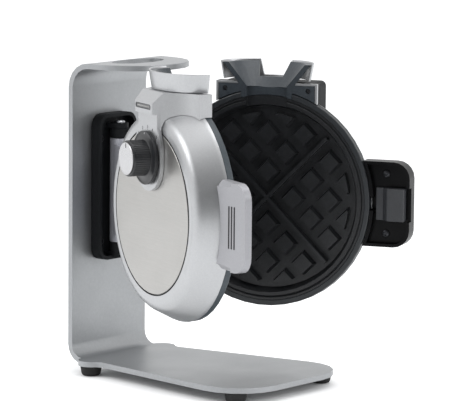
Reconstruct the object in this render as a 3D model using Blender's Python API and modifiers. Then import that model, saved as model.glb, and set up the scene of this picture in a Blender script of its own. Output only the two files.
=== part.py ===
"""Upright waffle maker: two round halves that swing about a vertical hinge on a C-shaped stand.

World frame: X runs along the base away from the upright plate, Y runs across, Z is up and the
floor is Z = 0. The near half swings on the -Y side and the far half on the +Y side. In a half's
own frame, "along" is the distance from the hinge axis, "out" is the distance from the parting
plane towards the half's outer face, and "up" is the world height.
"""
import math

import bmesh
import bpy
from mathutils import Matrix, Vector

# Fits and mesh density
CLEARANCE = 0.0003
OVERRUN = 0.004
WELD_DISTANCE = 0.000001
BIG_STEPS = 48
SMALL_STEPS = 20
HOLE_STEPS = 10
HALF_STEP_DEGREES = 180.0 / BIG_STEPS
CORNER_STEPS = 5

# Origin under the middle of the whole machine
MIDDLE_ALONG = 0.1462
MIDDLE_ACROSS = -0.0075

# Stand
STAND_HEIGHT = 0.300
STAND_SHEET = 0.0052
STAND_HALF_WIDTH = 0.054
TOP_BEND_RADIUS = 0.024
TOP_LENGTH = 0.0857
TOP_CORNER_RADIUS = 0.049
CARRY_HOLE_ALONG = 0.041
CARRY_HOLE_HALF_LENGTH = 0.0165
CARRY_HOLE_HALF_WIDTH = 0.033
CARRY_HOLE_STEPS = 28
BOTTOM_BEND_RADIUS = 0.018
BASE_LENGTH = 0.242
BASE_FRONT_HALF_WIDTH = 0.088
BASE_FRONT_CORNER = 0.044
EAR_ALONG = 0.029
EAR_ACROSS = 0.0532
EAR_RADIUS = 0.0124
EAR_FILLET = 0.010

# Feet
FOOT_HEIGHT = 0.0093
FOOT_TOP_RADIUS = 0.0106
FOOT_BOTTOM_RADIUS = 0.0092
FOOT_EDGE = 0.0012
FRONT_FOOT_INSET = 0.025
FRONT_FOOT_ALONG = BASE_LENGTH - FRONT_FOOT_INSET
FRONT_FOOT_ACROSS = 0.0641
FOOT_SCREW_RADIUS = 0.0015
FOOT_SCREW_HEAD_RADIUS = 0.0032
FOOT_SCREW_HEAD_HEIGHT = 0.0020
FOOT_SCREW_RECESS = 0.0035
BLIND_HOLE_SHARE = 0.65

# Hinge
HINGE_ALONG = 0.018
HINGE_DROP = 0.1265
HINGE_MIDDLE = STAND_HEIGHT - HINGE_DROP
BARREL_HEIGHT = 0.101
BARREL_RADIUS = 0.0095
KNUCKLE_HEIGHT = 0.009
BRACKET_EAR_HEIGHT = 0.005
BRACKET_EAR_RADIUS = 0.0085
PIN_RADIUS = 0.003
PIN_HEAD_RADIUS = 0.0052
PIN_HEAD_HEIGHT = 0.002
ARM_OUT = 0.001
ARM_THICKNESS = 0.0075
NEAR_ARM_HALF_HEIGHT = 0.0435
BRACKET_HALF_WIDTH = 0.027
BRACKET_REACH_DOWN = 0.0675
BRACKET_BOTTOM = HINGE_MIDDLE - BRACKET_REACH_DOWN
BRACKET_REACH_UP = 0.0745
BRACKET_TOP = HINGE_MIDDLE + BRACKET_REACH_UP
BRACKET_CORNER = 0.012
BRACKET_DEPTH = 0.011
BRACKET_FLOOR = 0.0025
BRACKET_WALL = 0.0035
BRACKET_SCREW_ACROSS = 0.0170
BRACKET_SCREW_UP = 0.050
BRACKET_SCREW_RADIUS = 0.0018
BRACKET_SCREW_HEAD_RADIUS = 0.0036
BRACKET_SCREW_HEAD_HEIGHT = 0.0020

# Both halves
NEAR_REST_DEGREES = -24.0
FAR_REST_DEGREES = 20.0
DISC_ALONG = 0.149
DISC_DROP = 0.0005
DISC_UP = HINGE_MIDDLE - DISC_DROP
PARTING_OUT = 0.00015
SHELL_WALL = 0.0022
RIM_RADIUS = 0.104
RIM_INNER_RADIUS = 0.0988
RIM_EDGE = 0.0008
RIM_OUT = 0.0068
HOUSING_RADIUS = 0.1045
FLANK_RADIUS = 0.1035
FLANK_OUT = 0.011
SHOULDER_RADIUS = 0.0935
SHOULDER_OUT = 0.030
CROWN_RADIUS = 0.0900
CROWN_OUT = 0.0340
LIP_RADIUS = 0.0835
HOUSING_OUT = 0.0365
COVER_RADIUS = 0.0768
COVER_THICKNESS = 0.0008
COVER_PROUD = 0.0005
COVER_EDGE = 0.0004
COVER_SIDE_GAP = 0.0007

# Grid plates
PLATE_FACE_OUT = 0.0008
PLATE_FLANGE_THICKNESS = 0.0054
MOAT_RADIUS = 0.0955
MOAT_HALF_WIDTH = 0.0012
MOAT_DEPTH = 0.0012
CAVITY_RADIUS = 0.0912
CAVITY_FLOOR_RADIUS = 0.0872
CAVITY_DEPTH = 0.0100
PLATE_THICKNESS = 0.0022
TOOTH_PITCH = 0.0257
FIRST_TOOTH_OFFSET = 0.0180
TOOTH_BASE_WIDTH = 0.0182
TOOTH_TIP_WIDTH = 0.0140
TOOTH_HEIGHT = 0.0066
TOOTH_FIELD_RADIUS = 0.0820
TEETH_ALONG_RIDGE = 3
RIDGE_HALF_WIDTH = 0.0016
RIDGE_HEIGHT = 0.0074
RIDGE_HALF_LENGTH = 0.0840

# Heaters and heat shields
HEATER_RADIUS = 0.0620
HEATER_TUBE_RADIUS = 0.0031
HEATER_SWEEP_DEGREES = 300.0
HEATER_STEPS = 22
HEATER_LEAD = 0.0050
SHIELD_OUT = 0.0245
SHIELD_THICKNESS = 0.0008
SHIELD_LIP = 0.0024

# Pouring funnels
THROAT_HALF_WIDTH = 0.0205
THROAT_OUT = 0.0050
THROAT_WALL = 0.0048
LINER_HALF_WIDTH = 0.0482
NEAR_LINER_HALF_WIDTH = 0.0455
LINER_OUT = 0.0100
LINER_TOP_RISE = 0.1088
LINER_TOP = DISC_UP + LINER_TOP_RISE
FUNNEL_BOTTOM_RISE = 0.1058
FUNNEL_BOTTOM = DISC_UP + FUNNEL_BOTTOM_RISE
CHANNEL_TOP_HALF_WIDTH = 0.0385
CHANNEL_TOP_OUT = 0.0285
CHANNEL_START_SHARE = 0.92
LINER_THROAT_OUT = 0.0075
LINER_TOP_HALF_WIDTH = 0.0440
LINER_TOP_OUT = 0.0315
LINER_RIM_RISE = 0.129
LINER_RIM = DISC_UP + LINER_RIM_RISE
SPOUT_BOTTOM_RISE = 0.1132
SPOUT_BOTTOM = DISC_UP + SPOUT_BOTTOM_RISE
SPOUT_TOP_RISE = 0.1305
SPOUT_TOP = DISC_UP + SPOUT_TOP_RISE
SPOUT_BOTTOM_HALF_WIDTH = 0.0432
SPOUT_BOTTOM_OUT = 0.0312
SPOUT_TOP_HALF_WIDTH = 0.0465
SPOUT_TOP_OUT = 0.0340
SPOUT_WALL = 0.0016
NOTCH_HALF_WIDTH = 0.0120
NOTCH_BOTTOM_RISE = 0.1153
NOTCH_BOTTOM = DISC_UP + NOTCH_BOTTOM_RISE
NOTCH_SLOPE = 0.0052
LINER_SCREW_ACROSS = 0.0415
LINER_SCREW_RISE = 0.107
LINER_SCREW_UP = DISC_UP + LINER_SCREW_RISE
LINER_SCREW_DROP = 0.0030
LINER_SCREW_RADIUS = 0.0022
LINER_SCREW_HEAD = 0.0014
LINER_SCREW_SHANK = 0.0050

# Control tower of the near half
TOWER_HALF_WIDTH = 0.0505
SWEEP_ALONG = 0.0580
SWEEP_OUT = 0.0520
SWEEP_RADIUS = 0.0397
HEAD_OVERHANG = 0.0047
HEAD_RISE = 0.0925
HEAD_BOTTOM = DISC_UP + HEAD_RISE
HEAD_CORNER = 0.0030
TOWER_OUT = 0.0413
HEAD_OUT = TOWER_OUT + HEAD_OVERHANG
TONGUE_HALF_WIDTH = 0.0268
TONGUE_ROOT_OUT = 0.0240
TONGUE_TOP_HALF_WIDTH = 0.0172
TONGUE_WAIST = 0.0330
TONGUE_BOTTOM_RISE = 0.020
TONGUE_BOTTOM = DISC_UP + TONGUE_BOTTOM_RISE
TOWER_BOTTOM_RISE = 0.065
TOWER_BOTTOM = DISC_UP + TOWER_BOTTOM_RISE
TOWER_TOP_RISE = 0.1128
TOWER_TOP = DISC_UP + TOWER_TOP_RISE
TOWER_SHOULDER = 0.0103
SHOULDER_TOOL = 0.0120
WINDOW_HALF_WIDTH = 0.0162
WINDOW_HEIGHT = 0.0048
WINDOW_RISE = 0.0992
WINDOW_UP = DISC_UP + WINDOW_RISE
LENS_THICKNESS = 0.0018
LENS_RECESS = 0.0005
LAMP_RADIUS = 0.0024
LAMP_LENGTH = 0.0070

# Thermostat and knob
KNOB_RISE = 0.051
KNOB_UP = DISC_UP + KNOB_RISE
KNOB_GAP = 0.0008
SKIRT_RADIUS = 0.0250
SKIRT_THICKNESS = 0.0030
SKIRT_EDGE = 0.0010
GRIP_RADIUS = 0.0168
GRIP_OUT = 0.0625
GRIP_EDGE = 0.0010
GRIP_TAPER = 0.0005
CAP_RADIUS = 0.0150
CAP_THICKNESS = 0.0008
SHAFT_RADIUS = 0.0030
SHAFT_HOLE_RADIUS = 0.0042
SHAFT_REACH = 0.0120
THERMOSTAT_HALF_WIDTH = 0.0150
THERMOSTAT_HALF_HEIGHT = 0.0130
THERMOSTAT_DEPTH = 0.0060

# Handles and latch
HANDLE_TIP_REACH = 0.1431
HANDLE_TIP = DISC_ALONG + HANDLE_TIP_REACH
HANDLE_HALF_HEIGHT = 0.0406
HANDLE_CORNER = 0.0160
FAR_HANDLE_OUT = 0.0165
FAR_HANDLE_WALL = 0.0030
FAR_HANDLE_FLOOR = 0.0065
NEAR_HANDLE_IN = 0.0060
NEAR_HANDLE_TIP_OUT = 0.0126
NEAR_HANDLE_ROOT_OUT = 0.0180
NEAR_HANDLE_FACET = 0.0080
GRIP_GROOVE_ALONG = 0.0175
GRIP_GROOVE_PITCH = 0.0042
GRIP_GROOVE_WIDTH = 0.0014
GRIP_GROOVE_DEPTH = 0.0008
GRIP_GROOVE_HALF_HEIGHT = 0.0195
GRIP_GROOVE_COUNT = 3
HANDLE_SCREW_INSET = 0.0246
HANDLE_SCREW_ALONG = HANDLE_TIP - HANDLE_SCREW_INSET
HANDLE_SCREW_UP = 0.0285
HANDLE_SCREW_RADIUS = 0.0034
HANDLE_SCREW_HEIGHT = 0.0022
HANDLE_SCREW_SHANK = 0.0016
HANDLE_SCREW_DEPTH = 0.0060
LATCH_INSET = 0.0049
LATCH_OUTER = HANDLE_TIP - LATCH_INSET
LATCH_FACE = 0.0167
LATCH_RIDGE = LATCH_OUTER - LATCH_FACE
LATCH_RAMP = 0.0050
LATCH_STEP = LATCH_RIDGE - LATCH_RAMP
LATCH_TAIL = 0.0073
LATCH_INNER = LATCH_STEP - LATCH_TAIL
LATCH_TRAVEL = 0.0040
LATCH_HALF_HEIGHT = 0.0155
LATCH_STEP_OUT = 0.0036
LATCH_PROUD = 0.0028
STEM_INSET = 0.0118
STEM_ALONG = LATCH_INNER + STEM_INSET
STEM_HALF_WIDTH = 0.0025
STEM_HALF_HEIGHT = 0.0040
STEM_DEPTH = 0.0060
CATCH_SETBACK = 0.0036
CATCH_ALONG = LATCH_INNER - CATCH_SETBACK
CATCH_THICKNESS = 0.0018
CATCH_HALF_HEIGHT = 0.0055
CATCH_LIP = 0.0040
CATCH_LIP_THICKNESS = 0.0014
CATCH_ROOT = 0.0040
CATCH_ROOM = 0.0010

# Far half's rear parts
FAR_TOWER_OUT = 0.0120
FAR_TOWER_TOP_RISE = 0.111
FAR_TOWER_TOP = DISC_UP + FAR_TOWER_TOP_RISE
FAR_TOWER_BOTTOM_RISE = 0.075
FAR_TOWER_BOTTOM = DISC_UP + FAR_TOWER_BOTTOM_RISE
TERMINAL_OUT = 0.0380
TERMINAL_HALF_WIDTH = 0.0475
TERMINAL_BOTTOM_RISE = 0.077
TERMINAL_BOTTOM = DISC_UP + TERMINAL_BOTTOM_RISE
TERMINAL_CORNER = 0.0050
TERMINAL_WALL = 0.0024

DIRECTIONS = {
    "plan": (0.0, 0.0, 0.0),
    "upright": (math.radians(90.0), 0.0, 0.0),
    "facing": (math.radians(90.0), 0.0, math.radians(90.0)),
}

FINISHES = {
    "satin_aluminium": ((0.60, 0.61, 0.62, 1.0), 0.34, 0.90),
    "silver_paint": ((0.63, 0.64, 0.67, 1.0), 0.36, 0.55),
    "brushed_steel": ((0.66, 0.65, 0.63, 1.0), 0.30, 1.00),
    "zinc_steel": ((0.55, 0.56, 0.58, 1.0), 0.38, 1.00),
    "black_plastic": ((0.015, 0.016, 0.017, 1.0), 0.42, 0.00),
    "slate_plastic": ((0.085, 0.105, 0.118, 1.0), 0.48, 0.00),
    "dark_liner": ((0.045, 0.052, 0.060, 1.0), 0.38, 0.00),
    "non_stick": ((0.022, 0.023, 0.025, 1.0), 0.40, 0.20),
    "foot_rubber": ((0.012, 0.012, 0.012, 1.0), 0.75, 0.00),
    "smoked_lens": ((0.10, 0.10, 0.11, 1.0), 0.12, 0.00),
    "heater_metal": ((0.24, 0.22, 0.20, 1.0), 0.45, 1.00),
    "switch_brown": ((0.10, 0.05, 0.03, 1.0), 0.50, 0.00),
}


def clear_scene():
    """Remove every object the scene holds."""
    for obj in list(bpy.data.objects):
        bpy.data.objects.remove(obj, do_unlink=True)


def make_collection(name, helper):
    """Return a new collection in the scene; a helper one stays out of renders."""
    collection = bpy.data.collections.new(name)
    bpy.context.scene.collection.children.link(collection)
    collection.hide_render = helper
    return collection


def make_material(name, finish):
    """Return a new Principled material with the named finish's colour, roughness and metallic value."""
    colour, roughness, metallic = FINISHES[finish]
    material = bpy.data.materials.new(name)
    material.use_nodes = True
    shader = material.node_tree.nodes["Principled BSDF"]
    shader.inputs["Base Color"].default_value = colour
    shader.inputs["Roughness"].default_value = roughness
    shader.inputs["Metallic"].default_value = metallic
    material.diffuse_color = colour
    return material


def add_solid(name, mesh, finish, parent=None):
    """Link a mesh as an object: a visible piece when it has a finish, a hidden cutter when not."""
    obj = bpy.data.objects.new(name, mesh)
    if finish is None:
        CUTTERS.objects.link(obj)
        obj.hide_render = True
        obj.display_type = "WIRE"
    else:
        PIECES.objects.link(obj)
        mesh.materials.append(make_material(name, finish))
    obj.parent = parent
    return obj


def weld(mesh):
    """Join the mesh's doubled points and turn its faces outwards."""
    bm = bmesh.new()
    bm.from_mesh(mesh)
    bmesh.ops.remove_doubles(bm, verts=bm.verts, dist=WELD_DISTANCE)
    bmesh.ops.recalc_face_normals(bm, faces=bm.faces)
    bm.to_mesh(mesh)
    bm.free()


def curve_mesh(name, curve):
    """Turn a curve into a closed mesh and drop the curve."""
    holder = bpy.data.objects.new(name + "_curve", curve)
    bpy.context.scene.collection.objects.link(holder)
    graph = bpy.context.evaluated_depsgraph_get()
    mesh = bpy.data.meshes.new_from_object(holder.evaluated_get(graph))
    bpy.data.objects.remove(holder, do_unlink=True)
    weld(mesh)
    return mesh


def flat_solid(name, loops, low, high, direction, finish, parent=None):
    """Extrude flat outlines from low to high; the first loop is the edge and the others are holes."""
    curve = bpy.data.curves.new(name, "CURVE")
    curve.dimensions = "2D"
    curve.fill_mode = "BOTH"
    curve.extrude = abs(high - low) / 2
    for loop in loops:
        spline = curve.splines.new("POLY")
        spline.points.add(len(loop) - 1)
        for point, place in zip(spline.points, loop):
            point.co = (place[0], place[1], 0.0, 1.0)
        spline.use_cyclic_u = True
    obj = add_solid(name, curve_mesh(name, curve), finish, parent)
    middle = (low + high) / 2
    obj.rotation_euler = DIRECTIONS[direction]
    obj.location = {
        "plan": (0.0, 0.0, middle),
        "upright": (0.0, middle, 0.0),
        "facing": (middle, 0.0, 0.0),
    }[direction]
    return obj


def block(name, low, high, finish, parent=None):
    """Make a box between two opposite corners."""
    size = [abs(b - a) for a, b in zip(low, high)]
    middle = Vector([(a + b) / 2 for a, b in zip(low, high)])
    bm = bmesh.new()
    bmesh.ops.create_cube(bm, size=1.0, matrix=Matrix.Diagonal((*size, 1.0)))
    mesh = bpy.data.meshes.new(name)
    bm.to_mesh(mesh)
    bm.free()
    obj = add_solid(name, mesh, finish, parent)
    obj.location = middle
    return obj


def turned(name, profile, steps, finish, parent=None):
    """Spin a profile of (radius, height) points about Z; its outer side runs downwards."""
    mesh = bpy.data.meshes.new(name)
    closed = profile[0][0] > 0.0
    edges = [(k, k + 1) for k in range(len(profile) - 1)]
    if closed:
        edges.append((len(profile) - 1, 0))
    mesh.from_pydata([(radius, 0.0, height) for radius, height in profile], edges, [])
    obj = add_solid(name, mesh, finish, parent)
    screw = obj.modifiers.new("turn", "SCREW")
    screw.steps = steps
    screw.render_steps = steps
    screw.use_merge_vertices = True
    screw.merge_threshold = WELD_DISTANCE
    return obj


def rods(name, places, radius, length, axis, steps, finish, parent=None):
    """Make equal cylinders centred on the places, all along one axis, as one object."""
    turn = {"X": Matrix.Rotation(math.radians(90.0), 4, "Y"),
            "Y": Matrix.Rotation(math.radians(90.0), 4, "X"),
            "Z": Matrix.Identity(4)}[axis]
    bm = bmesh.new()
    for place in places:
        matrix = Matrix.Translation(Vector(place)) @ turn
        bmesh.ops.create_cone(bm, cap_ends=True, segments=steps, radius1=radius, radius2=radius,
                              depth=length, matrix=matrix)
    mesh = bpy.data.meshes.new(name)
    bm.to_mesh(mesh)
    bm.free()
    return add_solid(name, mesh, finish, parent)


def bolt(name, place, turn_degrees, head, shank, parent=None):
    """Make a screw with its head's seat at the place; head and shank are (radius, length) sizes."""
    profile = [
        (0.0, head[1]),
        (head[0], head[1]),
        (head[0], 0.0),
        (shank[0], 0.0),
        (shank[0], -shank[1]),
        (0.0, -shank[1]),
    ]
    obj = turned(name, profile, HOLE_STEPS, "zinc_steel", parent)
    obj.location = place
    obj.rotation_euler = [math.radians(angle) for angle in turn_degrees]
    return obj


def combine(target, tool, operation):
    """Add a Boolean modifier to the target."""
    modifier = target.modifiers.new(operation.lower() + "_" + tool.name, "BOOLEAN")
    modifier.operation = operation
    modifier.solver = "EXACT"
    modifier.object = tool


def cut(target, *tools):
    """Take each tool away from the target."""
    for tool in tools:
        combine(target, tool, "DIFFERENCE")


def join(target, *tools):
    """Unite each tool with the target."""
    for tool in tools:
        combine(target, tool, "UNION")


def arc(centre, radius, start, end, steps):
    """Return points on an arc between two angles in degrees."""
    angles = [math.radians(start + (end - start) * k / steps) for k in range(steps + 1)]
    return [(centre[0] + radius * math.cos(t), centre[1] + radius * math.sin(t)) for t in angles]


def rounded(corners):
    """Return an outline through (x, y, radius) corners, each rounded by its radius."""
    points = []
    for index, (x, y, radius) in enumerate(corners):
        here = Vector((x, y))
        if radius == 0:
            points.append((x, y))
            continue
        back = (Vector(corners[index - 1][:2]) - here).normalized()
        ahead = (Vector(corners[(index + 1) % len(corners)][:2]) - here).normalized()
        half = back.angle(ahead) / 2
        centre = here + (back + ahead).normalized() * radius / math.sin(half)
        first = here + back * radius / math.tan(half) - centre
        last = here + ahead * radius / math.tan(half) - centre
        sweep = math.atan2(first.x * last.y - first.y * last.x, first.dot(last))
        for step in range(CORNER_STEPS + 1):
            turn = Matrix.Rotation(sweep * step / CORNER_STEPS, 2)
            points.append(tuple(centre + turn @ first))
    return points


def mirrored(points):
    """Return an outline made of the points and their mirror images across the X axis."""
    return points + [(x, -y) for x, y in reversed(points)]


class Half:
    """One swinging half: turns (along, out, up) sizes into pieces under its swing empty."""

    def __init__(self, name, side, rest_degrees):
        self.name = name
        self.side = side
        self.swing = bpy.data.objects.new(name + "_swing", None)
        PIECES.objects.link(self.swing)
        self.swing.location = (HINGE_ALONG, 0.0, 0.0)
        self.swing.rotation_euler = (0.0, 0.0, math.radians(rest_degrees))

    def plate(self, name, loops, low, high, finish):
        """Extrude (along, up) outlines outwards from low to high."""
        return flat_solid(self.name + "_" + name, loops, self.side * low, self.side * high,
                          "upright", finish, self.swing)

    def plan(self, name, outline, low, high, finish):
        """Extrude an (along, out) outline upwards from low to high."""
        loop = [(along, self.side * out) for along, out in outline]
        return flat_solid(self.name + "_" + name, [loop], low, high, "plan", finish, self.swing)

    def box(self, name, low, high, finish):
        """Make a box between two (along, out, up) corners."""
        corners = [(along, self.side * out, up) for along, out, up in (low, high)]
        return block(self.name + "_" + name, corners[0], corners[1], finish, self.swing)

    def wheel(self, name, profile, up, steps, finish):
        """Spin a (radius, out) profile about the line through the disc centre at a height."""
        obj = turned(self.name + "_" + name, profile, steps, finish, self.swing)
        obj.location = (DISC_ALONG, 0.0, up)
        obj.rotation_euler = (math.radians(-90.0 * self.side), math.radians(HALF_STEP_DEGREES), 0.0)
        return obj

    def pins(self, name, places, radius, low, high, finish):
        """Make cylinders that run outwards from low to high at (along, up) places."""
        middle = self.side * (low + high) / 2
        centres = [(along, middle, up) for along, up in places]
        return rods(self.name + "_" + name, centres, radius, abs(high - low), "Y", HOLE_STEPS, finish,
                    self.swing)

    def bolts(self, name, places, seat, head, shank):
        """Make one screw at each (along, up) place, its head towards the parting plane."""
        for index, (along, up) in enumerate(places):
            bolt("%s_%s_%d" % (self.name, name, index + 1), (along, self.side * seat, up),
                 (90.0 * self.side, 0.0, 0.0), head, shank, self.swing)

    def funnel(self, name, bottom, top, low, high, finish):
        """Make a half cone, flat on the parting plane, with (half width, out) sizes at both ends."""
        bm = bmesh.new()
        bmesh.ops.create_cone(bm, cap_ends=True, segments=BIG_STEPS, radius1=1.0, radius2=1.0, depth=1.0,
                              matrix=Matrix.Rotation(math.radians(HALF_STEP_DEGREES), 4, "Z"))
        for sizes, verts in ((bottom, [v for v in bm.verts if v.co.z < 0]),
                             (top, [v for v in bm.verts if v.co.z > 0])):
            bmesh.ops.scale(bm, vec=(sizes[0], sizes[1], high - low), verts=verts)
        if finish is not None:
            cut_line = Vector((0.0, self.side * PARTING_OUT, 0.0))
            keep = Vector((0.0, float(self.side), 0.0))
            geometry = bm.verts[:] + bm.edges[:] + bm.faces[:]
            bmesh.ops.bisect_plane(bm, geom=geometry, plane_co=cut_line, plane_no=keep, clear_inner=True)
            bmesh.ops.holes_fill(bm, edges=[e for e in bm.edges if e.is_boundary])
            bmesh.ops.recalc_face_normals(bm, faces=bm.faces)
        mesh = bpy.data.meshes.new(self.name + "_" + name)
        bm.to_mesh(mesh)
        bm.free()
        obj = add_solid(self.name + "_" + name, mesh, finish, self.swing)
        obj.location = (DISC_ALONG, 0.0, (low + high) / 2)
        return obj


def foot_places():
    """Return the four (x, y) places of the feet, rear ones first."""
    rear = [(EAR_ALONG, -EAR_ACROSS), (EAR_ALONG, EAR_ACROSS)]
    front = [(FRONT_FOOT_ALONG, -FRONT_FOOT_ACROSS), (FRONT_FOOT_ALONG, FRONT_FOOT_ACROSS)]
    return rear + front


def bracket_screw_places():
    """Return the (y, z) places of the bracket's screws."""
    return [(side * BRACKET_SCREW_ACROSS, HINGE_MIDDLE + level * BRACKET_SCREW_UP)
            for side in (-1, 1) for level in (-1, 1)]


def flare(along):
    """Return the base's half width at a place along it, without the ears."""
    slope = (BASE_FRONT_HALF_WIDTH - STAND_HALF_WIDTH) / (BASE_LENGTH - EAR_ALONG)
    return STAND_HALF_WIDTH + (along - EAR_ALONG) * slope


def ear_edge():
    """Return one side's edge from the upright round the foot ear to the fillet's end on the flare."""
    line = (Vector((BASE_LENGTH, flare(BASE_LENGTH))) - Vector((EAR_ALONG, flare(EAR_ALONG)))).normalized()
    normal = Vector((-line.y, line.x))
    ear = Vector((EAR_ALONG, EAR_ACROSS))
    height = (ear - Vector((EAR_ALONG, flare(EAR_ALONG)))).dot(normal)
    drop = EAR_FILLET - height
    reach = math.sqrt((EAR_RADIUS + EAR_FILLET) ** 2 - drop ** 2)
    fillet = ear + normal * drop + line * reach
    start = math.degrees(math.asin((STAND_HALF_WIDTH - EAR_ACROSS) / EAR_RADIUS))
    meet = math.degrees(math.atan2(fillet.y - ear.y, fillet.x - ear.x))
    end = math.degrees(math.atan2(-normal.y, -normal.x))
    if end > 0:
        end -= 360.0
    return arc(ear, EAR_RADIUS, 180.0 - start, meet, 2 * CORNER_STEPS) + arc(
        fillet, EAR_FILLET, meet - 180.0, end, CORNER_STEPS)[1:]


def base_outline():
    """Return the base's plan, from behind the upright plate to the rounded front corners."""
    corners = rounded([
        (EAR_ALONG, flare(EAR_ALONG), 0),
        (BASE_LENGTH, BASE_FRONT_HALF_WIDTH, BASE_FRONT_CORNER),
        (BASE_LENGTH, 0.0, 0),
    ])
    front = corners[1:-1]
    return mirrored([(-OVERRUN, STAND_HALF_WIDTH)] + ear_edge() + front)


def top_outline():
    """Return the top plate's plan with its rounded front."""
    corners = rounded([
        (-OVERRUN, STAND_HALF_WIDTH, 0),
        (TOP_LENGTH, STAND_HALF_WIDTH, TOP_CORNER_RADIUS),
        (TOP_LENGTH, 0.0, 0),
    ])
    return mirrored(corners[:-1])


def frame_around(outline):
    """Return a rectangle larger than the base with the outline as its hole."""
    far_x = BASE_LENGTH + 2 * OVERRUN
    far_y = BASE_FRONT_HALF_WIDTH + 2 * OVERRUN
    behind = -2 * OVERRUN
    return [[(behind, -far_y), (far_x, -far_y), (far_x, far_y), (behind, far_y)], outline]


def stand_frame():
    """Bend the C-shaped stand from one sheet and trim its base and top."""
    inner_top = TOP_BEND_RADIUS - STAND_SHEET
    inner_bottom = BOTTOM_BEND_RADIUS - STAND_SHEET
    floor = FOOT_HEIGHT + STAND_SHEET
    ceiling = STAND_HEIGHT - STAND_SHEET
    profile = rounded([
        (TOP_LENGTH, STAND_HEIGHT, 0),
        (0.0, STAND_HEIGHT, TOP_BEND_RADIUS),
        (0.0, FOOT_HEIGHT, BOTTOM_BEND_RADIUS),
        (BASE_LENGTH, FOOT_HEIGHT, 0),
        (BASE_LENGTH, floor, 0),
        (STAND_SHEET, floor, inner_bottom),
        (STAND_SHEET, ceiling, inner_top),
        (TOP_LENGTH, ceiling, 0),
    ])
    reach = BASE_FRONT_HALF_WIDTH + OVERRUN
    frame = flat_solid("stand_frame", [profile], -reach, reach, "upright", "satin_aluminium")
    split = FOOT_HEIGHT + BOTTOM_BEND_RADIUS + OVERRUN
    lower = flat_solid("base_trim", frame_around(base_outline()), -OVERRUN, split, "plan", None)
    upper = flat_solid("top_trim", frame_around(top_outline()), split, STAND_HEIGHT + OVERRUN, "plan", None)
    hole = [(CARRY_HOLE_ALONG + CARRY_HOLE_HALF_LENGTH * math.cos(t), CARRY_HOLE_HALF_WIDTH * math.sin(t))
            for t in (math.tau * k / CARRY_HOLE_STEPS for k in range(CARRY_HOLE_STEPS))]
    carry = flat_solid("carry_hole", [hole], ceiling - OVERRUN, STAND_HEIGHT + OVERRUN, "plan", None)
    depth = STAND_SHEET * BLIND_HOLE_SHARE
    screws = rods("foot_screw_holes", [(x, y, FOOT_HEIGHT) for x, y in foot_places()],
                  FOOT_SCREW_RADIUS + CLEARANCE, 2 * depth, "Z", HOLE_STEPS, None)
    bracket = rods("bracket_screw_holes", [(STAND_SHEET, y, z) for y, z in bracket_screw_places()],
                   BRACKET_SCREW_RADIUS + CLEARANCE, 2 * depth, "X", HOLE_STEPS, None)
    cut(frame, lower, upper, carry, screws, bracket)


def feet():
    """Make the four tapered feet and the screws that hold them."""
    names = ("foot_rear_near", "foot_rear_far", "foot_front_near", "foot_front_far")
    top = FOOT_HEIGHT - CLEARANCE
    bore = FOOT_SCREW_RADIUS + CLEARANCE
    recess = FOOT_SCREW_HEAD_RADIUS + CLEARANCE
    profile = [
        (bore, top),
        (FOOT_TOP_RADIUS, top),
        (FOOT_BOTTOM_RADIUS, FOOT_EDGE),
        (FOOT_BOTTOM_RADIUS - FOOT_EDGE, 0.0),
        (recess, 0.0),
        (recess, FOOT_SCREW_RECESS),
        (bore, FOOT_SCREW_RECESS),
    ]
    for name, place in zip(names, foot_places()):
        foot = turned(name, profile, SMALL_STEPS, "foot_rubber")
        foot.location = (*place, 0.0)
    seat = FOOT_SCREW_RECESS - CLEARANCE
    length = FOOT_HEIGHT + STAND_SHEET / 2 - seat
    for name, place in zip(names, foot_places()):
        bolt(name.replace("foot", "foot_screw"), (*place, seat), (180.0, 0.0, 0.0),
             (FOOT_SCREW_HEAD_RADIUS, FOOT_SCREW_HEAD_HEIGHT), (FOOT_SCREW_RADIUS, length))


def hinge_levels():
    """Return the heights of the barrel, knuckles and bracket ears as named (low, high) pairs."""
    barrel_top = HINGE_MIDDLE + BARREL_HEIGHT / 2
    barrel_bottom = HINGE_MIDDLE - BARREL_HEIGHT / 2
    upper = (barrel_top + CLEARANCE, barrel_top + CLEARANCE + KNUCKLE_HEIGHT)
    lower = (barrel_bottom - CLEARANCE - KNUCKLE_HEIGHT, barrel_bottom - CLEARANCE)
    return {
        "barrel": (barrel_bottom, barrel_top),
        "upper_knuckle": upper,
        "lower_knuckle": lower,
        "upper_ear": (upper[1] + CLEARANCE, upper[1] + CLEARANCE + BRACKET_EAR_HEIGHT),
        "lower_ear": (lower[0] - CLEARANCE - BRACKET_EAR_HEIGHT, lower[0] - CLEARANCE),
    }


def bracket_outline(inset):
    """Return the bracket's (across, up) outline, drawn in by an inset."""
    edge = BRACKET_HALF_WIDTH - inset
    low = BRACKET_BOTTOM + inset
    high = BRACKET_TOP - inset
    radius = BRACKET_CORNER - inset
    return rounded([(-edge, low, radius), (edge, low, radius), (edge, high, radius), (-edge, high, radius)])


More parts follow.
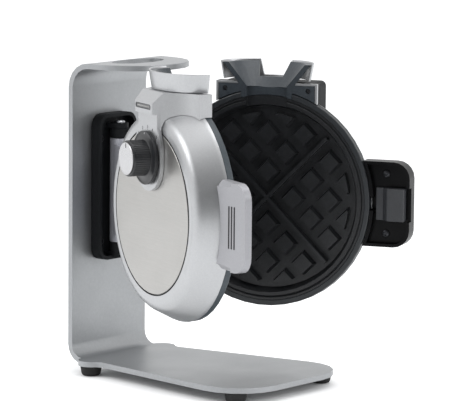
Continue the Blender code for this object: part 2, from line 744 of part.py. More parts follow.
def hinge_bracket():
    """Make the recessed bracket with its two ears and the screws that hold it to the stand."""
    back = STAND_SHEET + CLEARANCE
    floor = back + BRACKET_FLOOR
    front = back + BRACKET_DEPTH
    bracket = flat_solid("hinge_bracket", [bracket_outline(0.0)], back, front, "facing", "black_plastic")
    cut(bracket, flat_solid("bracket_recess", [bracket_outline(BRACKET_WALL)], floor, front + OVERRUN,
                            "facing", None))
    levels = hinge_levels()
    edge = BRACKET_EAR_RADIUS
    for name in ("upper_ear", "lower_ear"):
        nose = arc((HINGE_ALONG, 0.0), edge, -90.0, 90.0, 2 * CORNER_STEPS)
        root = floor - BRACKET_FLOOR / 2
        outline = nose + [(root, edge), (root, -edge)]
        join(bracket, flat_solid(name, [outline], *levels[name], "plan", None))
    pin_bottom = levels["lower_ear"][0] + BRACKET_EAR_HEIGHT / 4
    pin_top = levels["upper_ear"][1] + CLEARANCE
    bore_top = pin_top + OVERRUN
    bore_bottom = pin_bottom - CLEARANCE
    bore = rods("pin_bore", [(HINGE_ALONG, 0.0, (bore_bottom + bore_top) / 2)], PIN_RADIUS + CLEARANCE,
                bore_top - bore_bottom, "Z", SMALL_STEPS, None)
    screw_holes = rods("bracket_floor_holes", [(floor, y, z) for y, z in bracket_screw_places()],
                       BRACKET_SCREW_RADIUS + CLEARANCE, 2 * BRACKET_FLOOR + OVERRUN, "X", HOLE_STEPS, None)
    cut(bracket, bore, screw_holes)
    seat = floor + CLEARANCE
    for index, (y, z) in enumerate(bracket_screw_places()):
        bolt("bracket_screw_%d" % (index + 1), (seat, y, z), (0.0, 90.0, 0.0),
             (BRACKET_SCREW_HEAD_RADIUS, BRACKET_SCREW_HEAD_HEIGHT), (BRACKET_SCREW_RADIUS,
                                                                      seat - STAND_SHEET / 2))
    profile = [
        (0.0, pin_top + PIN_HEAD_HEIGHT),
        (PIN_HEAD_RADIUS - PIN_HEAD_HEIGHT / 2, pin_top + PIN_HEAD_HEIGHT),
        (PIN_HEAD_RADIUS, pin_top + PIN_HEAD_HEIGHT / 2),
        (PIN_HEAD_RADIUS, pin_top),
        (PIN_RADIUS, pin_top),
        (PIN_RADIUS, pin_bottom),
        (0.0, pin_bottom),
    ]
    turned("hinge_pin", profile, SMALL_STEPS, "zinc_steel").location = (HINGE_ALONG, 0.0, 0.0)


def disc_edge(low, high, radius, facing):
    """Return arc points of a circle about the disc centre between two heights, on one side of it."""
    start = math.degrees(math.asin((low - DISC_UP) / radius))
    end = math.degrees(math.asin((high - DISC_UP) / radius))
    if facing > 0:
        return arc((DISC_ALONG, DISC_UP), radius, start, end, 2 * CORNER_STEPS)
    return arc((DISC_ALONG, DISC_UP), radius, 180.0 - start, 180.0 - end, 2 * CORNER_STEPS)


def hinge_arm(half, name, level, arm_low, arm_high, finish):
    """Make a barrel on the hinge axis with an arm that reaches the half's rim."""
    low, high = level
    centre = (0.0, 0.0, (low + high) / 2)
    arm_name = half.name + "_" + name
    barrel = rods(arm_name, [centre], BARREL_RADIUS, high - low, "Z", SMALL_STEPS, finish, half.swing)
    disc_side = disc_edge(arm_low, arm_high, HOUSING_RADIUS + CLEARANCE, -1)
    outline = [(0.0, arm_low)] + disc_side + [(0.0, arm_high)]
    join(barrel, half.plate(name + "_web", [outline], ARM_OUT, ARM_OUT + ARM_THICKNESS, None))
    bore = rods(arm_name + "_bore", [centre], PIN_RADIUS + CLEARANCE, high - low + 2 * OVERRUN, "Z",
                SMALL_STEPS, None, half.swing)
    cut(barrel, bore)


def hinge_arms(near, far):
    """Make the near half's long arm and the far half's two short arms."""
    levels = hinge_levels()
    hinge_arm(near, "hinge_arm", levels["barrel"], HINGE_MIDDLE - NEAR_ARM_HALF_HEIGHT,
              HINGE_MIDDLE + NEAR_ARM_HALF_HEIGHT, "silver_paint")
    for name, key in (("hinge_arm_upper", "upper_knuckle"), ("hinge_arm_lower", "lower_knuckle")):
        hinge_arm(far, name, levels[key], *levels[key], "black_plastic")


def throat_box(half, name, half_width, out):
    """Return a cutter for the batter throat through the top of the rim."""
    low = (DISC_ALONG - half_width, -OVERRUN, DISC_UP + CAVITY_FLOOR_RADIUS)
    high = (DISC_ALONG + half_width, out, FUNNEL_BOTTOM + RIM_EDGE)
    return half.box(name, low, high, None)


def rim(half, finish):
    """Make the plastic rim ring, open at the top for the funnel's throat."""
    profile = [
        (RIM_INNER_RADIUS, RIM_OUT),
        (RIM_RADIUS, RIM_OUT),
        (RIM_RADIUS, PARTING_OUT + RIM_EDGE),
        (RIM_RADIUS - RIM_EDGE, PARTING_OUT),
        (RIM_INNER_RADIUS, PARTING_OUT),
    ]
    ring = half.wheel("rim", profile, DISC_UP, BIG_STEPS, finish)
    cut(ring, throat_box(half, "rim_gap", THROAT_HALF_WIDTH + THROAT_WALL + CLEARANCE, RIM_OUT + OVERRUN))


def tooth_places():
    """Return the (u, v) grid places of the teeth in one quadrant, kept inside the tooth field."""
    steps = [FIRST_TOOTH_OFFSET + k * TOOTH_PITCH for k in range(TEETH_ALONG_RIDGE)]
    reach = TOOTH_FIELD_RADIUS + TOOTH_BASE_WIDTH / 4
    return [(u, v) for u in steps for v in steps if math.hypot(u, v) < reach]


def grid_teeth(half, floor):
    """Make the tapered teeth of all four quadrants, trimmed to a round field."""
    base_radius = TOOTH_BASE_WIDTH / math.sqrt(2)
    tip_radius = TOOTH_TIP_WIDTH / math.sqrt(2)
    root = floor + PLATE_THICKNESS / 2
    length = TOOTH_HEIGHT + PLATE_THICKNESS / 2
    bm = bmesh.new()
    for quadrant in range(4):
        turn = Matrix.Rotation(math.radians(45.0 + 90.0 * quadrant), 4, "Z")
        for u, v in tooth_places():
            place = Matrix.Translation(Vector((u, v, root - length / 2)))
            corner = Matrix.Rotation(math.radians(45.0), 4, "Z")
            bmesh.ops.create_cone(bm, cap_ends=True, segments=4, radius1=tip_radius, radius2=base_radius,
                                  depth=length, matrix=turn @ place @ corner)
    mesh = bpy.data.meshes.new(half.name + "_teeth")
    bm.to_mesh(mesh)
    bm.free()
    teeth = add_solid(half.name + "_teeth", mesh, None, half.swing)
    teeth.location = (DISC_ALONG, 0.0, DISC_UP)
    teeth.rotation_euler = (math.radians(-90.0 * half.side), 0.0, 0.0)
    field = half.wheel("tooth_field", [
        (0.0, floor + PLATE_THICKNESS),
        (TOOTH_FIELD_RADIUS, floor + PLATE_THICKNESS),
        (TOOTH_FIELD_RADIUS, floor - TOOTH_HEIGHT - OVERRUN),
        (0.0, floor - TOOTH_HEIGHT - OVERRUN),
    ], DISC_UP, BIG_STEPS, None)
    combine(teeth, field, "INTERSECT")
    return teeth


def cross_ridge(half, floor):
    """Make the diagonal cross that parts the plate's four quadrants."""
    width = RIDGE_HALF_WIDTH
    length = RIDGE_HALF_LENGTH
    arm = [(length, -width), (length, width), (width, width)]
    points = []
    for quadrant in range(4):
        turn = Matrix.Rotation(math.radians(45.0 + 90.0 * quadrant), 2)
        points += [tuple(turn @ Vector(point) + Vector((DISC_ALONG, DISC_UP))) for point in arm]
    return half.plate("ridge", [points], floor - RIDGE_HEIGHT, floor + PLATE_THICKNESS / 2, None)


def grid_plate(half, finish):
    """Make the dished baking plate with its moat, teeth and cross ridge."""
    face = PLATE_FACE_OUT
    flange_back = face + PLATE_FLANGE_THICKNESS
    floor = face + CAVITY_DEPTH
    back = floor + PLATE_THICKNESS
    edge = RIM_INNER_RADIUS - CLEARANCE
    profile = [
        (0.0, back),
        (CAVITY_FLOOR_RADIUS + PLATE_THICKNESS, back),
        (CAVITY_RADIUS + PLATE_THICKNESS, flange_back),
        (edge, flange_back),
        (edge, face),
        (MOAT_RADIUS + MOAT_HALF_WIDTH, face),
        (MOAT_RADIUS, face + MOAT_DEPTH),
        (MOAT_RADIUS - MOAT_HALF_WIDTH, face),
        (CAVITY_RADIUS, face),
        (CAVITY_FLOOR_RADIUS, floor),
        (0.0, floor),
    ]
    plate = half.wheel("grid_plate", profile, DISC_UP, BIG_STEPS, finish)
    cut(plate, throat_box(half, "plate_throat", THROAT_HALF_WIDTH, THROAT_OUT))
    join(plate, cross_ridge(half, floor), grid_teeth(half, floor))
    return back


def heater(half, plate_back):
    """Bend the tubular heater round behind the grid plate, with its two leads turned outwards."""
    out = plate_back + CLEARANCE + HEATER_TUBE_RADIUS
    gap = (360.0 - HEATER_SWEEP_DEGREES) / 2
    ring = arc((DISC_ALONG, DISC_UP), HEATER_RADIUS, 90.0 + gap, 450.0 - gap, HEATER_STEPS)
    points = [(along, half.side * out, up) for along, up in ring]
    lead = Vector((0.0, half.side * HEATER_LEAD, 0.0))
    points = [tuple(Vector(points[0]) + lead)] + points + [tuple(Vector(points[-1]) + lead)]
    name = half.name + "_heater"
    curve = bpy.data.curves.new(name, "CURVE")
    curve.dimensions = "3D"
    curve.bevel_depth = HEATER_TUBE_RADIUS
    curve.bevel_resolution = 1
    curve.use_fill_caps = True
    spline = curve.splines.new("POLY")
    spline.points.add(len(points) - 1)
    for point, place in zip(spline.points, points):
        point.co = (*place, 1.0)
    add_solid(name, curve_mesh(name, curve), "heater_metal", half.swing)


def housing_profile(grow):
    """Return the housing's outer (radius, out) points from the rim to the lip, grown outwards."""
    return [
        (LIP_RADIUS + grow, HOUSING_OUT + grow),
        (CROWN_RADIUS + grow, CROWN_OUT + grow),
        (SHOULDER_RADIUS + grow, SHOULDER_OUT + grow / 2),
        (FLANK_RADIUS + grow, FLANK_OUT + grow / 2),
    ]


def housing(half, finish):
    """Make the domed outer shell with the recess for its cover plate."""
    seat = HOUSING_OUT + COVER_PROUD - COVER_THICKNESS - CLEARANCE
    recess = COVER_RADIUS + COVER_SIDE_GAP
    base = RIM_OUT + CLEARANCE
    inner = [(radius - SHELL_WALL, out - SHELL_WALL / 2) for radius, out in housing_profile(0.0)]
    ceiling = seat - SHELL_WALL
    inner[0] = (LIP_RADIUS - SHELL_WALL, ceiling)
    profile = [(0.0, seat), (recess, seat), (recess, HOUSING_OUT)] + housing_profile(0.0) + [
        (HOUSING_RADIUS, base), (HOUSING_RADIUS - SHELL_WALL, base)] + inner[::-1] + [(0.0, ceiling)]
    shell = half.wheel("housing", profile, DISC_UP, BIG_STEPS, finish)
    cover_low = seat + CLEARANCE
    cover_high = cover_low + COVER_THICKNESS
    cover = half.wheel("cover_plate", [
        (0.0, cover_high),
        (COVER_RADIUS - COVER_EDGE, cover_high),
        (COVER_RADIUS, cover_high - COVER_EDGE),
        (COVER_RADIUS, cover_low),
        (0.0, cover_low),
    ], DISC_UP, BIG_STEPS, "brushed_steel")
    return shell, cover


def dome_seat(half, name):
    """Return a cutter with the outer form of rim, housing and cover plate plus the clearance."""
    grow = CLEARANCE
    top = HOUSING_OUT + COVER_PROUD + grow
    profile = [(0.0, top), (LIP_RADIUS + grow, top)] + housing_profile(grow)[1:] + [
        (HOUSING_RADIUS + grow, RIM_OUT), (HOUSING_RADIUS + grow, -OVERRUN), (0.0, -OVERRUN)]
    return half.wheel(name, profile, DISC_UP, BIG_STEPS, None)


def heat_shield(half):
    """Make the thin dished shield between the heater and the housing."""
    share = (SHIELD_OUT + SHELL_WALL / 2 - FLANK_OUT) / (SHOULDER_OUT - FLANK_OUT)
    edge = FLANK_RADIUS + (SHOULDER_RADIUS - FLANK_RADIUS) * share - SHELL_WALL - CLEARANCE
    top = SHIELD_OUT
    half.wheel("heat_shield", [
        (0.0, top),
        (edge, top),
        (edge, top - SHIELD_THICKNESS - SHIELD_LIP),
        (edge - SHIELD_THICKNESS, top - SHIELD_THICKNESS - SHIELD_LIP),
        (edge - SHIELD_THICKNESS, top - SHIELD_THICKNESS),
        (0.0, top - SHIELD_THICKNESS),
    ], DISC_UP, BIG_STEPS // 2, "zinc_steel")


def funnel_sizes(low, grow):
    """Return the liner cone's (half width, out) at a height between its two ends, grown by a gap."""
    share = (low - FUNNEL_BOTTOM) / (LINER_RIM - FUNNEL_BOTTOM)
    bottom = (THROAT_HALF_WIDTH + THROAT_WALL, LINER_THROAT_OUT)
    top = (LINER_TOP_HALF_WIDTH, LINER_TOP_OUT)
    return tuple(b + (t - b) * share + grow for b, t in zip(bottom, top))


def liner_cone(half, name, grow, finish):
    """Return the outer cone of the funnel liner, grown by a clearance when it is a cutter."""
    return half.funnel(name, funnel_sizes(FUNNEL_BOTTOM, grow), funnel_sizes(LINER_RIM, grow),
                       FUNNEL_BOTTOM - grow, LINER_RIM + grow, finish)


def liner_screw_places():
    """Return the (along, up) places of the liner's screws."""
    return [(DISC_ALONG + side * LINER_SCREW_ACROSS, LINER_SCREW_UP - LINER_SCREW_DROP) for side in (-1, 1)]


def notch_cutter(half, name, grow):
    """Return the cutter for the notch in the far funnel's back wall."""
    narrow = NOTCH_HALF_WIDTH - grow
    wide = narrow + NOTCH_SLOPE
    bottom = NOTCH_BOTTOM + grow
    top = SPOUT_TOP + OVERRUN
    outline = [(DISC_ALONG - narrow, bottom), (DISC_ALONG + narrow, bottom),
               (DISC_ALONG + wide, top), (DISC_ALONG - wide, top)]
    return half.plate(name, [outline], LINER_OUT, SPOUT_TOP_OUT + OVERRUN, None)


def funnel_liner(half, half_width, notched):
    """Make the dark funnel: a block behind the parting plane, a throat and a flared half cone."""
    bottom_edge = disc_edge_over(half_width, HOUSING_RADIUS + CLEARANCE)
    outline = bottom_edge + [(DISC_ALONG - half_width, LINER_TOP), (DISC_ALONG + half_width, LINER_TOP)]
    liner = half.plate("funnel", [outline], -OVERRUN, LINER_OUT, "dark_liner")
    throat_width = THROAT_HALF_WIDTH + THROAT_WALL
    throat_edge = disc_edge_over(throat_width, RIM_INNER_RADIUS)
    throat_top = FUNNEL_BOTTOM + CLEARANCE
    throat = throat_edge + [(DISC_ALONG - throat_width, throat_top),
                            (DISC_ALONG + throat_width, throat_top)]
    join(liner, half.plate("throat", [throat], -OVERRUN / 2, RIM_OUT - CLEARANCE, None))
    cone = liner_cone(half, "liner_cone", 0.0, None)
    join(liner, cone)
    cut(liner, half.box("parting_trim", (0.0, PARTING_OUT, 0.0),
                        (2 * DISC_ALONG, -2 * LINER_TOP_OUT, 2 * DISC_UP), None))
    start = (THROAT_HALF_WIDTH * CHANNEL_START_SHARE, THROAT_OUT * CHANNEL_START_SHARE)
    channel = half.funnel("channel", start, (CHANNEL_TOP_HALF_WIDTH, CHANNEL_TOP_OUT),
                          FUNNEL_BOTTOM - CLEARANCE,
                          LINER_RIM + CLEARANCE, None)
    cut(liner, channel, throat_box(half, "throat_cut", THROAT_HALF_WIDTH, THROAT_OUT))
    seat = PARTING_OUT + LINER_SCREW_HEAD + 2 * CLEARANCE
    cut(liner,
        half.pins("liner_screw_seats", liner_screw_places(), LINER_SCREW_RADIUS + CLEARANCE, -OVERRUN, seat,
                  None),
        half.pins("liner_screw_holes", liner_screw_places(), LINER_SCREW_RADIUS / 2 + CLEARANCE, -OVERRUN,
                  seat + LINER_SCREW_SHANK + 2 * CLEARANCE, None))
    if notched:
        cut(liner, notch_cutter(half, "liner_notch", 0.0))
    half.bolts("funnel_screw", liner_screw_places(), PARTING_OUT + LINER_SCREW_HEAD + CLEARANCE,
               (LINER_SCREW_RADIUS, LINER_SCREW_HEAD), (LINER_SCREW_RADIUS / 2, LINER_SCREW_SHANK))


def disc_edge_over(half_width, radius):
    """Return arc points along the top of a circle about the disc centre, from right to left reversed."""
    reach = math.degrees(math.asin(half_width / radius))
    return arc((DISC_ALONG, DISC_UP), radius, 90.0 - reach, 90.0 + reach, 2 * CORNER_STEPS + 1)


def spout(half, notched):
    """Make the flared silver collar round the funnel's mouth."""
    bottom = (SPOUT_BOTTOM_HALF_WIDTH, SPOUT_BOTTOM_OUT)
    top = (SPOUT_TOP_HALF_WIDTH, SPOUT_TOP_OUT)
    collar = half.funnel("spout", bottom, top, SPOUT_BOTTOM, SPOUT_TOP, "silver_paint")
    thin_bottom = tuple(size - SPOUT_WALL for size in bottom)
    thin_top = tuple(size - SPOUT_WALL for size in top)
    cut(collar, half.funnel("spout_hollow", thin_bottom, thin_top, SPOUT_BOTTOM - WELD_DISTANCE,
                            SPOUT_TOP + WELD_DISTANCE, None))
    if notched:
        cut(collar, notch_cutter(half, "spout_notch", CLEARANCE))


def tower_plan(inset):
    """Return the tower head's (along, out) plan: straight ends, then hollow sweeps to the front face."""
    radius = SWEEP_RADIUS + inset
    end = TOWER_HALF_WIDTH - inset
    front = HEAD_OUT - inset
    corner = HEAD_CORNER
    first = -math.degrees(math.acos((end - SWEEP_ALONG) / radius))
    last = -math.degrees(math.acos(-math.sqrt(1 - ((front - corner - SWEEP_OUT) / radius) ** 2)))
    sweep = arc((SWEEP_ALONG, SWEEP_OUT), radius, first, last, 2 * CORNER_STEPS)
    nose = arc((sweep[-1][0] - corner, front - corner), corner, 0.0, 90.0, CORNER_STEPS)
    right = [(end, -OVERRUN if inset else PARTING_OUT)] + sweep + nose[1:]
    left = [(-x, out) for x, out in reversed(right)]
    return [(DISC_ALONG + x, out) for x, out in right + left]


def tongue_outline():
    """Return the (along, up) outline of the tongue under the head: round below, drawn in above."""
    centre = (DISC_ALONG, TONGUE_BOTTOM + TONGUE_HALF_WIDTH)
    low = arc(centre, TONGUE_HALF_WIDTH, -90.0, 0.0, 2 * CORNER_STEPS)
    steps = 2 * CORNER_STEPS
    start = HEAD_BOTTOM - TONGUE_WAIST
    right = []
    for k in range(steps + 1):
        share = (1.0 - math.cos(math.pi * k / steps)) / 2
        half = TONGUE_HALF_WIDTH + (TONGUE_TOP_HALF_WIDTH - TONGUE_HALF_WIDTH) * share
        right.append((DISC_ALONG + half, start + TONGUE_WAIST * k / steps))
    right.append((right[-1][0], HEAD_BOTTOM + SHELL_WALL))
    half_outline = low + right
    return half_outline + [(2 * DISC_ALONG - x, up) for x, up in reversed(half_outline[1:])]


def control_tower(near):
    """Make the tower over the near half: an overhanging head with the lamp slot, and the knob's tongue."""
    tower = near.plan("control_tower", tower_plan(0.0), TOWER_BOTTOM, TOWER_TOP, "silver_paint")
    reach = TOWER_HALF_WIDTH + OVERRUN
    under = near.box("head_underside", (DISC_ALONG - reach, TOWER_OUT, TOWER_BOTTOM - OVERRUN),
                     (DISC_ALONG + reach, HEAD_OUT + OVERRUN, HEAD_BOTTOM), None)
    cut(tower, under)
    join(tower, near.plate("tongue", [tongue_outline()], TONGUE_ROOT_OUT, TOWER_OUT - CLEARANCE, None))
    cavity = near.plan("tower_cavity", tower_plan(SHELL_WALL), TOWER_BOTTOM - OVERRUN,
                       TOWER_TOP - SHELL_WALL, None)
    front = near.box("cavity_front",
                     (DISC_ALONG - reach, TOWER_OUT - SHELL_WALL, TOWER_BOTTOM - 2 * OVERRUN),
                     (DISC_ALONG + reach, HEAD_OUT + OVERRUN, HEAD_BOTTOM + SHELL_WALL), None)
    cut(cavity, front, shoulder_box(near, "cavity_shoulder", SHELL_WALL))
    cut(tower, cavity, dome_seat(near, "tower_seat"), liner_cone(near, "tower_mouth", CLEARANCE, None))
    window = near.plate("window", [slot_outline(0.0)], HEAD_OUT - SHELL_WALL - OVERRUN, HEAD_OUT + OVERRUN,
                        None)
    shaft = near.pins("tower_shaft_hole", [(DISC_ALONG, KNOB_UP)], SHAFT_HOLE_RADIUS, SHOULDER_OUT,
                      TOWER_OUT + OVERRUN, None)
    cut(tower, shoulder_box(near, "shoulder_trim", 0.0), window, shaft)


def shoulder_box(near, name, inset):
    """Return the slanted box that bevels the head's front top edge, moved inwards by an inset."""
    size = SHOULDER_TOOL
    reach = TOWER_HALF_WIDTH + OVERRUN
    box = near.box(name, (DISC_ALONG - reach, -size, -size), (DISC_ALONG + reach, size, size), None)
    box.rotation_euler = (math.radians(45.0), 0.0, 0.0)
    step = (size - inset) / math.sqrt(2) - TOWER_SHOULDER / 2
    box.location = (DISC_ALONG, near.side * (HEAD_OUT + step), TOWER_TOP + step)
    return box


def slot_outline(inset):
    """Return the lamp window's slot outline, drawn in by a gap."""
    half_height = WINDOW_HEIGHT / 2 - inset
    straight = WINDOW_HALF_WIDTH - WINDOW_HEIGHT / 2
    left = arc((DISC_ALONG - straight, WINDOW_UP), half_height, 90.0, 270.0, CORNER_STEPS)
    right = arc((DISC_ALONG + straight, WINDOW_UP), half_height, -90.0, 90.0, CORNER_STEPS)
    return left + right


def indicator(near):
    """Make the lens in the tower's slot and the lamp behind it."""
    outer = HEAD_OUT - LENS_RECESS
    near.plate("indicator_lens", [slot_outline(CLEARANCE)], outer - LENS_THICKNESS, outer, "smoked_lens")
    lamp_top = outer - LENS_THICKNESS - CLEARANCE
    near.pins("indicator_lamp", [(DISC_ALONG, WINDOW_UP)], LAMP_RADIUS, lamp_top - LAMP_LENGTH, lamp_top,
              "smoked_lens")


def thermostat_and_knob(near, shell, cover):
    """Make the thermostat inside the near half and the knob, cap and shaft that set it."""
    ceiling = HOUSING_OUT + COVER_PROUD - COVER_THICKNESS - CLEARANCE - SHELL_WALL
    body_top = ceiling - CLEARANCE
    near.box("thermostat",
             (DISC_ALONG - THERMOSTAT_HALF_WIDTH, body_top - THERMOSTAT_DEPTH,
              KNOB_UP - THERMOSTAT_HALF_HEIGHT),
             (DISC_ALONG + THERMOSTAT_HALF_WIDTH, body_top,
              KNOB_UP + THERMOSTAT_HALF_HEIGHT), "switch_brown")
    place = [(DISC_ALONG, KNOB_UP)]
    cut(shell, near.pins("shell_shaft_hole", place, SHAFT_HOLE_RADIUS, ceiling - OVERRUN,
                         HOUSING_OUT + OVERRUN, None))
    cut(cover, near.pins("cover_shaft_hole", place, SHAFT_HOLE_RADIUS, ceiling - OVERRUN,
                         HOUSING_OUT + OVERRUN, None))
    skirt_low = TOWER_OUT + KNOB_GAP
    skirt_high = skirt_low + SKIRT_THICKNESS
    bore = SHAFT_RADIUS + CLEARANCE
    bore_end = skirt_low + SHAFT_REACH
    knob = near.wheel("control_knob", [
        (0.0, GRIP_OUT),
        (GRIP_RADIUS - GRIP_EDGE, GRIP_OUT),
        (GRIP_RADIUS, GRIP_OUT - GRIP_EDGE),
        (GRIP_RADIUS + GRIP_TAPER, skirt_high),
        (SKIRT_RADIUS - SKIRT_EDGE, skirt_high),
        (SKIRT_RADIUS, skirt_high - SKIRT_EDGE),
        (SKIRT_RADIUS, skirt_low),
        (bore, skirt_low),
        (bore, bore_end),
        (0.0, bore_end),
    ], KNOB_UP, BIG_STEPS * 2 // 3, "black_plastic")
    knob.name = "control_knob"
    cap_low = GRIP_OUT + CLEARANCE
    cap = near.wheel("knob_cap", [
        (0.0, cap_low + CAP_THICKNESS),
        (CAP_RADIUS, cap_low + CAP_THICKNESS),
        (CAP_RADIUS, cap_low),
        (0.0, cap_low),
    ], KNOB_UP, BIG_STEPS * 2 // 3, "brushed_steel")
    cap.name = "knob_cap"
    shaft = near.wheel("knob_shaft", [
        (0.0, bore_end - CLEARANCE),
        (SHAFT_RADIUS, bore_end - CLEARANCE),
        (SHAFT_RADIUS, ceiling),
        (0.0, ceiling),
    ], KNOB_UP, HOLE_STEPS, "zinc_steel")
    shaft.name = "knob_shaft"


def handle_outline(inset):
    """Return a handle's (along, up) outline, from the housing's edge to the rounded tip."""
    half_height = HANDLE_HALF_HEIGHT - inset
    tip = HANDLE_TIP - inset
    corner = HANDLE_CORNER - inset
    low = DISC_UP - half_height
    high = DISC_UP + half_height
    root = disc_edge(low, high, HOUSING_RADIUS + CLEARANCE + inset, 1)
    end = rounded([(root[-1][0], high, 0), (tip, high, corner), (tip, low, corner), (root[0][0], low, 0)])
    return root[:-1] + end[:-1]


def handle_screw_places():
    """Return the (along, up) places of a handle's two screws."""
    return [(HANDLE_SCREW_ALONG, DISC_UP + level * HANDLE_SCREW_UP) for level in (-1, 1)]


def far_handle(far):
    """Make the dished black handle with the latch's notch, stem slot and catch pocket, and its screws."""
    handle = far.plate("handle", [handle_outline(0.0)], PARTING_OUT, FAR_HANDLE_OUT, "black_plastic")
    floor = FAR_HANDLE_FLOOR
    recess = far.plate("handle_recess", [handle_outline(FAR_HANDLE_WALL)], -OVERRUN, floor, None)
    notch_height = LATCH_HALF_HEIGHT + 2 * CLEARANCE
    notch = far.box("latch_notch", (LATCH_INNER, -OVERRUN, DISC_UP - notch_height),
                    (HANDLE_TIP + OVERRUN, floor, DISC_UP + notch_height), None)
    slot_high = STEM_HALF_HEIGHT + CLEARANCE
    slot = far.box("stem_slot", (STEM_ALONG - STEM_HALF_WIDTH - CLEARANCE, -OVERRUN, DISC_UP - slot_high),
                   (STEM_ALONG + STEM_HALF_WIDTH + LATCH_TRAVEL + CLEARANCE, floor + STEM_DEPTH,
                    DISC_UP + slot_high), None)
    pocket_high = CATCH_HALF_HEIGHT + CATCH_ROOM
    pocket = far.box("catch_pocket", (CATCH_ALONG - CATCH_ROOM, -OVERRUN, DISC_UP - pocket_high),
                     (CATCH_ALONG + CATCH_THICKNESS + CATCH_LIP + CATCH_ROOM,
                      floor + CLEARANCE + CATCH_LIP_THICKNESS + CATCH_ROOM, DISC_UP + pocket_high), None)
    holes = far.pins("handle_screw_holes", handle_screw_places(), HANDLE_SCREW_SHANK + CLEARANCE,
                     -OVERRUN, floor + HANDLE_SCREW_DEPTH + CLEARANCE, None)
    cut(handle, recess, notch, slot, pocket, holes)
    head_high = floor - CLEARANCE
    far.bolts("handle_screw", handle_screw_places(), head_high, (HANDLE_SCREW_RADIUS, HANDLE_SCREW_HEIGHT),
              (HANDLE_SCREW_SHANK, CLEARANCE + HANDLE_SCREW_DEPTH))


def latch(far):
    """Make the sliding latch: a stepped thumb block with a stem in the handle's slot."""
    back = FAR_HANDLE_FLOOR - CLEARANCE
    outline = [
        (LATCH_INNER, back),
        (LATCH_INNER, LATCH_STEP_OUT),
        (LATCH_STEP, LATCH_STEP_OUT - CLEARANCE),
        (LATCH_RIDGE, -LATCH_PROUD),
        (LATCH_OUTER, -LATCH_PROUD),
        (LATCH_OUTER, back),
    ]
    slide = far.plan("latch_slide", outline, DISC_UP - LATCH_HALF_HEIGHT, DISC_UP + LATCH_HALF_HEIGHT,
                     "slate_plastic")
    slide.name = "latch_slide"
    join(slide, far.box("stem",
                        (STEM_ALONG - STEM_HALF_WIDTH, back - CLEARANCE, DISC_UP - STEM_HALF_HEIGHT),
                        (STEM_ALONG + STEM_HALF_WIDTH, back + STEM_DEPTH,
                         DISC_UP + STEM_HALF_HEIGHT), None))


def near_handle(near):
    """Make the silver handle with its sloped face and grip grooves, and the hook the latch holds."""
    handle = near.plate("handle", [handle_outline(0.0)], 0.0, NEAR_HANDLE_ROOT_OUT + OVERRUN,
                        "silver_paint")
    root = DISC_ALONG + SHOULDER_RADIUS
    start = DISC_ALONG + HOUSING_RADIUS
    slope = (NEAR_HANDLE_TIP_OUT - NEAR_HANDLE_ROOT_OUT) / (HANDLE_TIP - start)
    outline = [
        (root, NEAR_HANDLE_IN),
        (HANDLE_TIP + OVERRUN, NEAR_HANDLE_IN),
        (HANDLE_TIP + OVERRUN, NEAR_HANDLE_TIP_OUT + slope * OVERRUN),
        (root, NEAR_HANDLE_ROOT_OUT + slope * (root - start)),
    ]
    reach = HANDLE_HALF_HEIGHT + OVERRUN
    section = near.plan("handle_section", outline, DISC_UP - reach, DISC_UP + reach, None)
    combine(handle, section, "INTERSECT")
    face_angle = math.atan(slope)
    for index in range(GRIP_GROOVE_COUNT):
        along = start + GRIP_GROOVE_ALONG + (index - 1) * GRIP_GROOVE_PITCH
        out = NEAR_HANDLE_ROOT_OUT + slope * (along - start)
        groove = near.box("grip_groove_%d" % (index + 1),
                          (along - GRIP_GROOVE_WIDTH / 2, out - GRIP_GROOVE_DEPTH,
                           DISC_UP - GRIP_GROOVE_HALF_HEIGHT),
                          (along + GRIP_GROOVE_WIDTH / 2, out + GRIP_GROOVE_DEPTH,
                           DISC_UP + GRIP_GROOVE_HALF_HEIGHT), None)
        groove.rotation_euler = (0.0, 0.0, near.side * face_angle)
        cut(handle, groove)
    for level in (-1, 1):
        corner_up = DISC_UP + level * HANDLE_HALF_HEIGHT
        facet = near.box("handle_facet_%s" % ("low" if level < 0 else "high"),
                         (start - NEAR_HANDLE_FACET, NEAR_HANDLE_ROOT_OUT - NEAR_HANDLE_FACET / 2,
                          corner_up - NEAR_HANDLE_FACET / 2),
                         (start + 2 * NEAR_HANDLE_FACET, NEAR_HANDLE_ROOT_OUT + NEAR_HANDLE_FACET / 2,
                          corner_up + NEAR_HANDLE_FACET / 2),
                         None)
        facet.rotation_euler = (math.radians(45.0), 0.0, 0.0)
        cut(handle, facet)
    low = NEAR_HANDLE_IN
    pocket_high = CATCH_HALF_HEIGHT + CLEARANCE
    pocket = near.box("catch_seat", (CATCH_ALONG - CLEARANCE, low - OVERRUN, DISC_UP - pocket_high),
                      (CATCH_ALONG + CATCH_THICKNESS + CLEARANCE, low + CATCH_ROOT + CLEARANCE,
                       DISC_UP + pocket_high), None)
    screw_holes = near.pins("handle_screw_holes", handle_screw_places(), HANDLE_SCREW_SHANK + CLEARANCE,
                            low - OVERRUN, low + HANDLE_SCREW_DEPTH / 2 + CLEARANCE, None)
    cut(handle, pocket, screw_holes)
    near.bolts("handle_screw", handle_screw_places(), low - CLEARANCE,
               (HANDLE_SCREW_RADIUS, HANDLE_SCREW_HEIGHT),
               (HANDLE_SCREW_SHANK, CLEARANCE + HANDLE_SCREW_DEPTH / 2))
    catch_hook(near)


